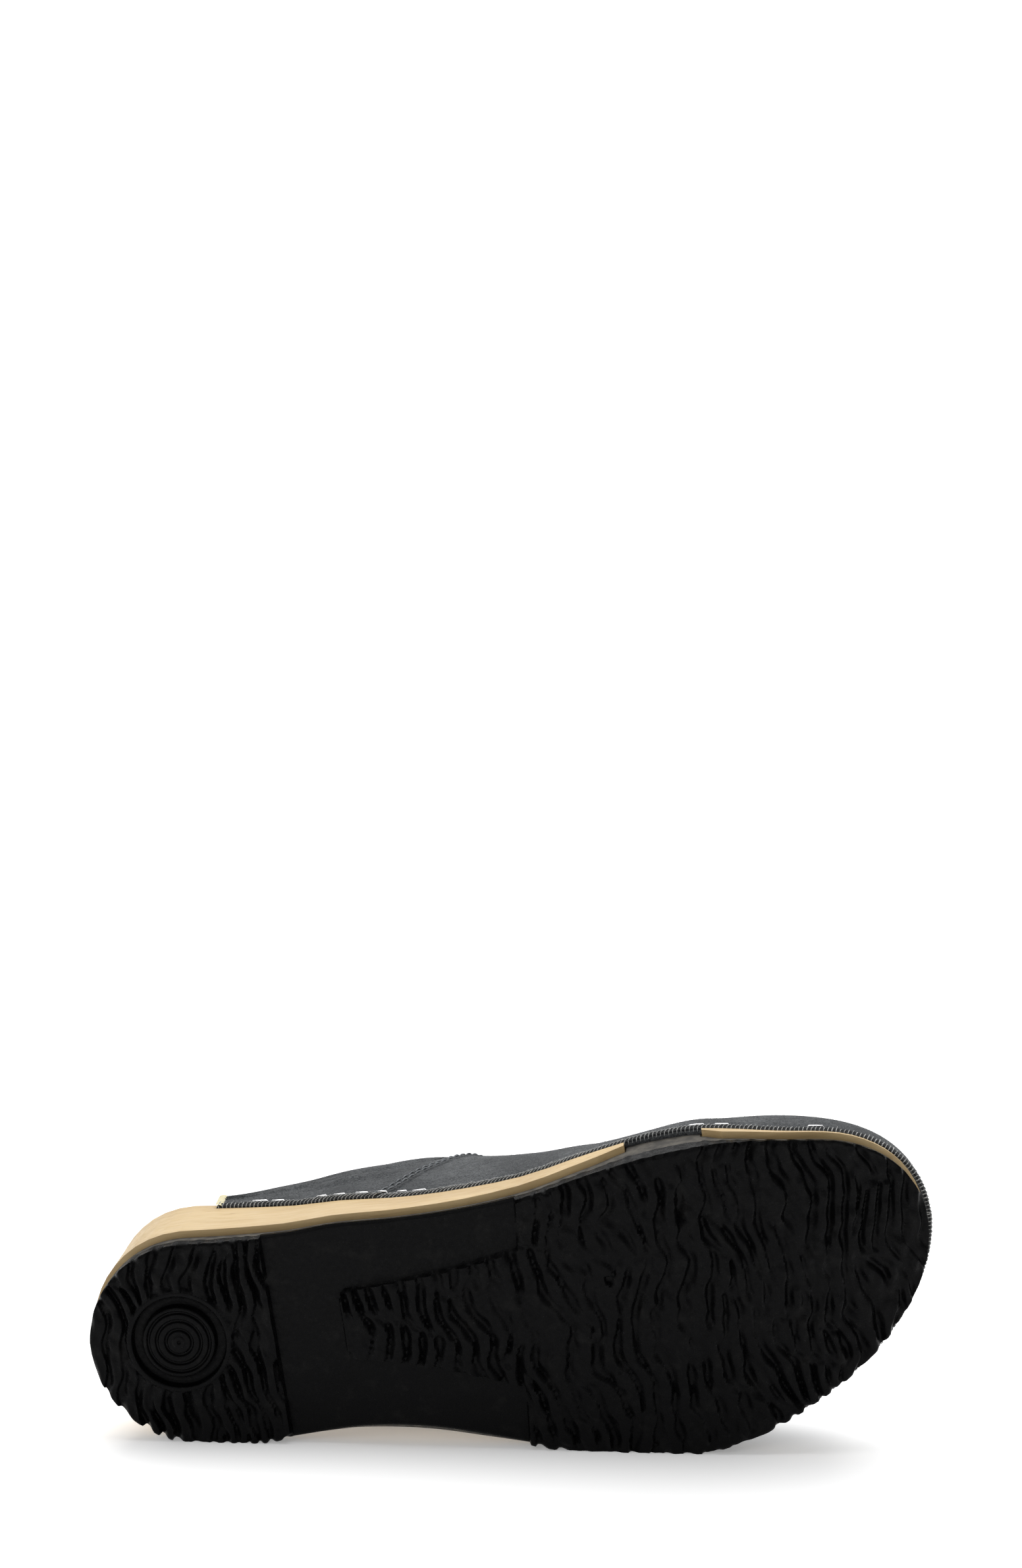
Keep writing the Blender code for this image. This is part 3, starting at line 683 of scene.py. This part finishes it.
def front_skew(share):
    x = share * LENGTH
    window = ease(TONGUE_REAR_X, TREAD_FRONT_X, x) * (1 - ease(TREAD_FRONT_X, BRIDGE_REAR_X, x))
    return TREAD_FRONT_SKEW / LENGTH * window


def tongue_edges(share):
    along = np.clip((share * LENGTH - TONGUE_REAR_X) / (TREAD_FRONT_X - TONGUE_REAR_X), 0, 1)
    width = blend(TONGUE_REAR_WIDTH, TONGUE_FRONT_WIDTH, along ** 1.5)
    reach = 2 * width / np.maximum(2 * half_width(share), width)
    return -TONGUE_LATERAL_SHARE * reach, (1 - TONGUE_LATERAL_SHARE) * reach


def tread_stations():
    u = np.linspace(0, 1, TREAD_STATIONS)
    xs = LENGTH * (0.5 * u + 0.5 * (1 - np.cos(math.pi * u)) / 2)
    front = BRIDGE_REAR_X + BRIDGE_LENGTH
    lines = [HEEL_BREAST_X - STEP_RUN, HEEL_BREAST_X, TONGUE_REAR_X - STEP_RUN, TONGUE_REAR_X,
             TREAD_FRONT_X - STEP_RUN, TREAD_FRONT_X, BRIDGE_REAR_X, BRIDGE_REAR_X + GAP,
             front - GAP, front]
    room = 0.3 * MM
    xs = [x for x in xs if min(abs(x - line) for line in lines) > room]
    return np.array(sorted(xs + lines))


def tread_relief(x, points, inside):
    """How far each point lies above the tread plane, and how deep it is in a crevice, from 0 to 1."""
    px, py = points[..., 0], points[..., 1]
    turn, clear = bark_noise(11, px, py)
    crest = 0.80 + 0.07 * smooth_noise(13, px, py, 12 * MM, 10 * MM)
    ridge = ease(0.02, 0.50, turn) * (1 - ease(crest, np.minimum(crest + 0.17, 1.0), turn))
    clear = ease(0.10, 0.50, clear)
    valley = (1 - ridge) * clear + 0.4 * (1 - clear)
    depth = TREAD_DEPTH * (0.90 + 0.20 * smooth_noise(5, px, py, 26 * MM, 26 * MM))
    fine = 0.20 * MM * smooth_noise(8, px, py, 3.6 * MM, 6 * MM, 24)
    bark = np.maximum(valley * depth + fine + BARK_REST, 0)
    heel = 1 - ease(HEEL_BREAST_X - STEP_RUN, HEEL_BREAST_X, x)
    fore = ease(TREAD_FRONT_X - STEP_RUN, TREAD_FRONT_X, x)
    tongue = inside * ease(TONGUE_REAR_X - STEP_RUN, TONGUE_REAR_X, x)
    mask = np.maximum(np.maximum(heel, fore), tongue)
    waist = WAIST_RECESS + 0.06 * MM * smooth_noise(9, px, py, 15 * MM, 9 * MM)
    relief = blend(waist, bark, mask)
    radius = np.hypot(px - RING_CENTRE.x, py - RING_CENTRE.y)
    relief = blend(0.0, relief, ease(RING_RIM_RADIUS, RING_RIM_RADIUS + 0.8 * MM, radius))
    sunk = 1 - ease(RING_OUTER_RADIUS + 0.5 * MM, RING_RIM_RADIUS - 0.3 * MM, radius)
    return relief + sunk * (RING_DEPTH + 0.8 * MM), valley * mask


def tongue_corner(xs):
    """How far the tongue's rear corners are rounded inwards."""
    along = np.clip((xs - TONGUE_REAR_X) / TONGUE_CORNER, 0, 1)
    return TONGUE_CORNER * (1 - np.sqrt(np.clip(1 - (1 - along) ** 2, 0, 1)))


def tread_fractions(low, high):
    """Places across the tread from -1 to 1, with more of them on the tongue between low and high."""
    c = np.linspace(0, 1, TREAD_COLUMNS)[None]
    rear, fore = 0.3, 0.7
    middle = low + (high - low) * (c - rear) / (fore - rear)
    beside = high + (1 - high) * (c - fore) / (1 - fore)
    return np.where(c < rear, -1 + (low + 1) * c / rear, np.where(c < fore, middle, beside))


def outsole_wall(side, share, bridged, end):
    """Side of the outsole, from the tread's edge up to the wood, or over the bridge to the upper."""
    joint = joint_height(share)
    level = edge_height(share)
    rounding = end_rounding(share)
    edge = flare(side, share, joint)
    step = RUBBER / 10 * rounding
    low_wall = np.maximum(end + 0.5 * MM, blend(end, joint, 0.45))
    seat = level + 2 * GAP / 3
    rim = rim_height(share) - BRIDGE_DROP
    bridge = [(edge, joint), (flare(side, share, level), level),
              (rim_offset(side, share, seat), seat), (rim_offset(side, share, rim), rim)]
    plain = [(edge - 0.25 * MM * rounding, joint)]
    plain += [(edge - step * i, joint) for i in (1, 2, 3)]
    offsets = [flare(side, share, low_wall) + 0.1 * MM * rounding, edge]
    heights = [low_wall, joint - 0.4 * MM]
    for (a, high_a), (b, high_b) in zip(bridge, plain):
        offsets.append(np.where(bridged, a, b))
        heights.append(np.where(bridged, high_a, high_b))
    return side_point(side, share, np.concatenate(offsets, 1), np.concatenate(heights, 1))


def make_outsole():
    xs = tread_stations()[:, None]
    share = xs / LENGTH
    low, high = tongue_edges(share)
    fraction = tread_fractions(low, high)
    skew = front_skew(share)
    lateral = side_point(LATERAL, share - skew, 0.0, 0.0)
    medial = side_point(MEDIAL, share + skew, 0.0, 0.0)
    points = lateral + (medial - lateral) * ((fraction + 1) / 2)[..., None]
    width = np.maximum(np.abs(lateral[..., 1] - medial[..., 1]), STEP_RUN)
    slit = 2 * STEP_RUN / width
    inset = 2 * tongue_corner(xs) / width
    inside = ease(low + inset, low + inset + slit, fraction)
    inside = inside * (1 - ease(high - inset - slit, high - inset, fraction))
    relief, valley = tread_relief(xs, points, inside)
    edge_share = np.abs(fraction) ** 14 * end_rounding(share)
    points[..., 1] += np.sign(fraction) * 0.55 * MM * valley * edge_share
    rounding = 0.5 * MM * ease(0.975, 1.0, np.abs(fraction)) * end_rounding(share)
    points[..., 2] = toe_rise(share) + relief + rounding

    bridged = (xs > BRIDGE_REAR_X) & (xs < BRIDGE_REAR_X + BRIDGE_LENGTH)
    medial_wall = outsole_wall(MEDIAL, share + skew, bridged, points[:, -1:, 2])
    lateral_wall = outsole_wall(LATERAL, share - skew, bridged, points[:, :1, 2])
    reach = medial_wall[:, -1:] - lateral_wall[:, -1:]
    inner = [lateral_wall[:, -1:] + reach * (f + 1) / 2 for f in (0.4, -0.4)]
    loops = np.concatenate([points, medial_wall] + inner + [lateral_wall[:, ::-1]], 1)
    piece = Piece("outsole_tread")
    on_wall = (np.arange(loops.shape[1]) >= TREAD_COLUMNS).astype(int)
    piece.add_grid(loops, wrap=True, finishes=np.tile(on_wall, len(loops) - 1).tolist())
    item = piece.make((RUBBER_LOOK, WALL_LOOK), merge=0.01 * MM, sharp=50)
    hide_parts("outsole")


def make_heel_ring():
    """Smooth rim, round groove and disc with fine turned rings under the heel."""
    rim, outer, disc = RING_RIM_RADIUS, RING_OUTER_RADIUS, DISC_RADIUS
    edge = [(rim + 0.1 * MM, 1.2 * MM), (rim, 0.12 * MM), (rim - 0.3 * MM, DISC_RELIEF),
            (outer + 0.35 * MM, DISC_RELIEF), (outer + 0.08 * MM, 0.1 * MM), (outer, 0.4 * MM),
            (outer - 0.1 * MM, RING_DEPTH - 0.5 * MM), (outer - 0.5 * MM, RING_DEPTH),
            (disc + 0.5 * MM, RING_DEPTH), (disc + 0.1 * MM, RING_DEPTH - 0.5 * MM),
            (disc, 0.4 * MM), (disc - 0.1 * MM, 0.1 * MM), (disc - 0.4 * MM, DISC_RELIEF)]
    radii = np.linspace(disc - 0.6 * MM, 0, 76)
    heights = np.full(len(radii), DISC_RELIEF)
    for groove, depth in DISC_GROOVES:
        heights = heights + depth * MM * np.exp(-((radii / MM - groove) / GROOVE_HALF) ** 4)
    boss = 0.25 * MM * (1 - ease(1.6 * MM, 2.2 * MM, radii))
    dimple = 0.5 * MM * (1 - ease(0.3 * MM, 0.7 * MM, radii))
    profile = np.array(edge + list(zip(radii, heights - boss + dimple)))
    turns = np.linspace(0, 2 * math.pi, 112, endpoint=False)
    radius, height = profile[:, :1], profile[:, 1:]
    points = np.stack([RING_CENTRE.x + radius * np.cos(turns), RING_CENTRE.y + radius * np.sin(turns),
                       height + 0 * turns], -1)
    piece = Piece("heel_ring")
    piece.add_grid(points, wrap=True)
    piece.make((RUBBER_LOOK,), merge=0.002 * MM, sharp=60)


# Upper

def station_under(top_share):
    """Stations whose crown lies at the given shares of the length, by halving."""
    low = np.full(np.shape(top_share), UPPER_REAR)
    high = np.ones(np.shape(top_share))
    for _ in range(40):
        middle = (low + high) / 2
        behind = middle + seam_lean(middle, UPPER_ROWS) < top_share
        low = np.where(behind, middle, low)
        high = np.where(behind, high, middle)
    return low


def upper_stations():
    """Stations with one at the front of the collar, close together at the toe and at the seam."""
    behind = 1 - (1 - np.linspace(0, 1, COLLAR_STATIONS, endpoint=False)) ** 1.5
    turns = np.linspace(math.acos(1 - 2 * COLLAR_FRONT), math.pi, FRONT_STATIONS)
    tops = np.concatenate([blend(UPPER_REAR, COLLAR_FRONT, behind), (1 - np.cos(turns)) / 2])
    shares = station_under(tops)
    shares[0] = UPPER_REAR
    shares[-1] = 1.0
    near = SEAM_STEP / LENGTH
    shares = [share for share in shares if abs(share - SEAM_FOOT) > 2 * near]
    seam = [SEAM_FOOT + near * k for k in (-1.4, -0.6, -0.2, 0.2, 0.6, 1.4)]
    return np.array(sorted(shares + seam))


def swell(side, station, row):
    """Soft forms over the plain section: seam step, hollows and flex creases."""
    share = station + seam_lean(station, row)
    near = SEAM_STEP / LENGTH
    high = SEAM_STEP * (1 - ease(SEAM_FOOT - near * 0.7, SEAM_FOOT + near * 0.7, station))
    up = np.clip((row - 1) / (UPPER_ROWS - 1), 0, 1)
    lump = 0.35 * MM * smooth_noise(21 + side, share * LENGTH, up * 60 * MM, 30 * MM, 24 * MM)
    lump = lump * ease(0.0, 0.25, up) * (1 - ease(0.85, 1.0, up))
    hollow = 0.5 * MM * np.exp(-((share - 0.487) / 0.035) ** 2)
    hollow = hollow * ease(0.05, 0.3, up) * (1 - ease(0.6, 0.9, up))
    creases = 0
    for at, deep, tilt in CREASES:
        line = at + tilt * up + 0.004 * np.sin(up * 9 + at * 40)
        creases = creases + deep * MM * np.exp(-((share - line) / 0.0065) ** 2)
    creases = creases * ease(0.12, 0.45, up)
    press = 0.25 * MM * (1 - ease(0.0, 0.7, row))
    return high + lump - hollow - creases - press


def over_suede(side, station, row, proud):
    """Point at a height over the suede's face."""
    return upper_point(side, station, row, -(swell(side, station, row) + proud))


def edge_strip(first, second, direction, bulge):
    """Rounded strip from one line to another, which bulges in the given direction."""
    out = direction / (np.linalg.norm(direction, axis=-1)[:, None] + 1e-12)
    lines = [first + (second - first) * t + out * bulge * math.sin(math.pi * t)
             for t in np.linspace(0, 1, 9)]
    return np.stack(lines, 1)


def make_upper():
    stations = upper_stations()
    rows = np.concatenate([np.linspace(0, 1, 8), 1 + 9 * np.linspace(0, 1, 50)[1:]])
    station, row = stations[:, None], rows[None]
    top_share = stations + seam_lean(stations, UPPER_ROWS)
    first_closed = int(np.argmax(top_share > COLLAR_FRONT - 1e-6))
    suede = Piece("upper_suede")
    lining = Piece("upper_lining")
    outers = {side: over_suede(side, station, row, 0.0) for side in (MEDIAL, LATERAL)}
    inners = {side: upper_point(side, station, row, WALL) for side in (MEDIAL, LATERAL)}
    for halves in (outers, inners):
        crown = (halves[MEDIAL][first_closed:, -1] + halves[LATERAL][first_closed:, -1]) / 2
        for half in halves.values():
            half[first_closed:, -1] = crown
    topline = slice(0, first_closed + 1)
    suede_lines = 6
    for side in (MEDIAL, LATERAL):
        outer, inner = outers[side], inners[side]
        suede.add_grid(outer)
        lining.add_grid(inner)
        suede.add_grid(edge_strip(outer[:, 0], inner[:, 0], outer[:, 0] - outer[:, 1], 0.35 * MM))
        rise = (outer[:, -1] - outer[:, -2])[topline]
        collar = edge_strip(outer[topline, -1], inner[topline, -1], rise, 0.5 * MM)
        suede.add_grid(collar[:, :suede_lines])
        lining.add_grid(collar[:, suede_lines - 1:])
        back = outer[0] - outer[1]
        lining.add_grid(edge_strip(outer[0], inner[0], back, 0.7 * MM))
        fold_stations = UPPER_REAR + np.linspace(0, 1, 6) * FOLD_WIDTH / LENGTH
        lift = np.array([0.75, 0.7, 0.6, 0.5, 0.35, -0.1]) * MM
        fold = upper_point(side, fold_stations[:, None], row, -(SEAM_STEP + lift[:, None]))
        back = back / np.linalg.norm(back, axis=-1)[:, None]
        fold[0] = outer[0] + back * 0.5 * MM + (fold[0] - outer[0]) * 0.7
        lining.add_grid(fold)
    lining.make((LINING_LOOK,), merge=0.01 * MM, sharp=70)
    item = suede.make((SUEDE_LOOK,), merge=0.01 * MM, sharp=70)
    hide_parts("upper")


def walked(line):
    """Distance along a line at each of its points."""
    return np.concatenate([[0], np.cumsum(np.linalg.norm(np.diff(line, axis=0), axis=1))])


def lower_edge_walk(side, pitch):
    """Stations at even distances along the lower edge of the upper."""
    fine = (1 - np.cos(np.linspace(math.acos(1 - 2 * UPPER_REAR), math.pi, 1500))) / 2
    length = walked(upper_point(side, fine, 0.0, 0.0))
    return np.interp(np.arange(pitch / 2, length[-1], pitch), length, fine)


def shifted(side, station, along):
    """Station a short distance further along the lower edge."""
    step = 1e-4
    low = max(UPPER_REAR, station - step)
    high = min(1.0, station + step)
    ends = [upper_point(side, np.array([share]), 0.0, 0.0)[0] for share in (low, high)]
    rate = np.linalg.norm(ends[1] - ends[0]) / (high - low)
    return min(1.0, max(UPPER_REAR, station + along / rate))


def make_overlock():
    """Slanted thread loops round the lower edge of the upper, over a dark band: the cut edge's own colour,
    darkened with painted shade between the loops.
    """
    loops = Piece("overlock_thread")
    band = Piece("overlock_band")
    dice = np.random.default_rng(3)
    for side in (MEDIAL, LATERAL):
        for station in lower_edge_walk(side, LOCK_PITCH):
            tall = (LOCK_HEIGHT + 0.3 * MM * dice.normal()) / RIM_BAND
            slant = (0.55 + 0.15 * dice.normal()) * MM
            places = ((tall, 0.05, slant), (tall * 0.85, 0.55, slant * 0.8),
                      (tall * 0.45, 0.80, slant * 0.4), (0.06, 0.60, 0.0))
            under = ((0.15, -slant * 0.1), (-0.8, -slant * 0.2))
            path = []
            for level, proud, along in places:
                at = np.array([shifted(side, station, along)])
                path.append(over_suede(side, at, level, proud * MM)[0])
            for proud, along in under:
                at = np.array([shifted(side, station, along)])
                point = over_suede(side, at, 0.0, proud * MM)[0]
                point[2] -= 0.22 * MM
                path.append(point)
            add_tube(loops, path, LOCK_RADIUS + 0.02 * MM * dice.normal(), 5)
        # Dark band along the lower edge: the cut edge's own colour, darkened into painted shade between
        # the loops.
        fine = lower_edge_walk(side, 1.0 * MM)[:, None]
        rows = np.array([[0.0, 0.1, 0.2, 0.3, 0.38, 0.43]])
        proud = np.array([[0.30, 0.50, 0.62, 0.60, 0.35, -0.05]]) * MM
        points = over_suede(side, fine, rows, proud)
        edge = points[:, :1].copy()
        inner = upper_point(side, fine, np.zeros((1, 1)), 1.2 * MM)
        for line in (edge, inner):
            line[..., 2] -= EDGE_OVERHANG
        band.add_grid(np.concatenate([inner, edge, points], 1))
    loops.make((LOCK_LOOK,))
    band.make((CUT_EDGE_AND_SHADE_LOOK,))


def make_seam_stitches():
    """Two rows of raised stitches behind the seam, with a flat dark disc of painted shade for the needle
    hole at each end.
    """
    stitches = Piece("seam_stitches")
    holes = Piece("painted_needle_hole_shade")
    share = np.linspace(0, 1, 8)
    proud = (0.42 * np.sin(math.pi * share) - 0.12) * MM
    turns = np.linspace(0, 2 * math.pi, HOLE_SIDES, endpoint=False)
    for side in (MEDIAL, LATERAL):
        for back in SEAM_ROWS:
            station = SEAM_FOOT - back / LENGTH
            fine = np.linspace(0.35, 9.85, 400)
            length = walked(over_suede(side, station, fine, 0.0))
            count = int(length[-1] / STITCH_PITCH)
            ends = np.interp(np.linspace(0, length[-1], count + 1), length, fine)
            for first, second in zip(ends, ends[1:]):
                rows = first + (second - first) * blend(0.06, 0.94, share)
                add_tube(stitches, over_suede(side, station, rows, proud), STITCH_RADIUS, 6)
            rate = (fine[-1] - fine[0]) / length[-1]
            across = station + HOLE_RADIUS * np.cos(turns) / LENGTH
            for place in ends:
                rows = place + HOLE_RADIUS * rate * np.sin(turns)
                # Each needle hole is a flat dark disc lying on the suede: painted shade for the hole.
                ring = over_suede(side, across, rows, 0.05 * MM)
                middle = over_suede(side, np.array([station]), place, 0.03 * MM)
                faces = [[i, (i + 1) % HOLE_SIDES, HOLE_SIDES] for i in range(HOLE_SIDES)]
                holes.add(np.concatenate([ring, middle]), faces)
    stitches.make((STITCH_LOOK,))
    holes.make((CUT_EDGE_AND_SHADE_LOOK,))


def make_staples():
    wire = Piece("edge_staples")
    dice = np.random.default_rng(17)
    for side, places in ((MEDIAL, MEDIAL_STAPLES), (LATERAL, LATERAL_STAPLES)):
        for place in places:
            half = STAPLE_HALF + 0.25 * MM * dice.normal()
            level = (STAPLE_HEIGHT + 0.25 * MM * dice.normal()) / RIM_BAND
            path = []
            for along, proud, sag in STAPLE_PATH:
                at = np.array([shifted(side, place, along * half)])
                path.append(over_suede(side, at, level - sag, proud * MM)[0])
            add_tube(wire, path, STAPLE_RADIUS, 8, taper=1.0)
    wire.make((STEEL_LOOK,))


def make_fuzz():
    """Short loose fibres standing off the suede, each a thin triangle."""
    fuzz = Piece("suede_fibres")
    dice = np.random.default_rng(29)
    count = FIBRES_PER_SIDE
    for side in (MEDIAL, LATERAL):
        station = UPPER_REAR + 0.01 + (1 - UPPER_REAR - 0.015) * dice.random(count)
        row = 0.6 + 9.3 * dice.random(count) ** 0.85
        base = swell(side, station, row)
        root = upper_point(side, station, row, -base)
        ahead = upper_point(side, np.minimum(station + 1e-3, 1.0), row, -base)
        above = upper_point(side, station, np.minimum(row + 0.02, 10.0), -base)
        out = np.cross(ahead - root, above - root)
        size = np.linalg.norm(out, axis=1)
        keep = size > 1e-12
        out = out / np.maximum(size, 1e-15)[:, None]
        out *= np.sign(out[:, 1] * side + 0.6 * out[:, 2])[:, None]
        wild = dice.normal(size=(count, 3))
        lie = out + 0.75 * wild
        lie /= np.linalg.norm(lie, axis=1)[:, None]
        tall = (0.35 + 0.45 * dice.random(count) ** 2.2) * MM
        tall = tall * np.where(dice.random(count) > 0.93, 1.7, 1.0)
        tip = root + lie * tall[:, None]
        flat = np.cross(lie, wild)
        flat /= np.linalg.norm(flat, axis=1)[:, None] + 1e-12
        foot = root - out * FIBRE_ROOT
        half = flat * FIBRE_HALF_WIDTH
        triangles = np.stack([foot - half, foot + half, tip], 1)[keep]
        fuzz.add(triangles, np.arange(len(triangles) * 3).reshape(-1, 3))
    fuzz.make((FUZZ_LOOK,), recalc=False)


# Floor, light and camera

def plain_material(name, colour, glow):
    material = bpy.data.materials.new(name)
    material.use_nodes = True
    shader = material.node_tree.nodes["Principled BSDF"]
    shader.inputs["Base Color"].default_value = (*colour, 1)
    shader.inputs["Roughness"].default_value = 0.9
    shader.inputs["Specular IOR Level"].default_value = 0.0
    shader.inputs["Emission Color"].default_value = (1, 1, 1, 1)
    shader.inputs["Emission Strength"].default_value = glow
    return material


def add_sheet(name, lines, glow):
    """Wide pale sheet through lines along x, given as y and z."""
    half_width = 4.0
    mesh = bpy.data.meshes.new(name)
    points = [(x, y, z) for y, z in lines for x in (-half_width, half_width)]
    faces = [(2 * i, 2 * i + 1, 2 * i + 3, 2 * i + 2) for i in range(len(lines) - 1)]
    mesh.from_pydata(points, [], faces)
    mesh.materials.append(plain_material(name, (0.9, 0.9, 0.9), glow))
    item = bpy.data.objects.new(name, mesh)
    bpy.context.scene.collection.objects.link(item)


def make_stage():
    front, bend, radius, back, top = -3.0, 1.2, 0.8, 2.0, 4.0
    add_sheet("pale_floor", [(front, 0.0), (bend, 0.0)], 0.24)
    turns = np.linspace(0, math.pi / 2, 14)
    curve = [(bend + radius * math.sin(t), radius - radius * math.cos(t)) for t in turns]
    add_sheet("pale_backdrop", curve + [(back, top)], 0.8)


def add_light(name, place, target, size, power):
    data = bpy.data.lights.new(name, "AREA")
    data.shape = "RECTANGLE"
    data.size, data.size_y = size
    data.energy = power
    item = bpy.data.objects.new(name, data)
    item.location = place
    item.rotation_mode = "QUATERNION"
    item.rotation_quaternion = (Vector(target) - Vector(place)).to_track_quat("-Z", "Y")
    bpy.context.scene.collection.objects.link(item)


def make_lights():
    world = bpy.data.worlds.new("studio")
    world.use_nodes = True
    world.node_tree.nodes["Background"].inputs["Color"].default_value = (1, 1, 1, 1)
    world.node_tree.nodes["Background"].inputs["Strength"].default_value = 0.30
    bpy.context.scene.world = world
    add_light("overhead", (0.0, 0.25, 1.3), (0, 0.02, 0), (1.6, 1.3), 24)
    add_light("front_fill", (-0.5, -1.3, 0.75), (0, 0, 0.05), (0.9, 0.5), 3)


def make_camera():
    bpy.context.scene.view_settings.view_transform = "Standard"
    data = bpy.data.cameras.new("camera")
    data.sensor_width = 36
    data.lens = 57.18
    data.clip_start = 0.01
    data.clip_end = 30
    camera = bpy.data.objects.new("camera", data)
    camera.location = (0.0664, -0.7701, 0.2303)
    camera.rotation_euler = [math.radians(angle) for angle in (87.724, -0.192, 5.089)]
    bpy.context.scene.collection.objects.link(camera)
    bpy.context.scene.camera = camera


make_stage()
make_lights()
make_camera()
make_outsole()
make_heel_ring()
make_upper()
make_overlock()
make_seam_stitches()
make_staples()
make_fuzz()
for name in ("wood_sole_rear", "wood_sole_front"):
    frame["nodes"][name].data.materials[0] = WOOD_LOOK
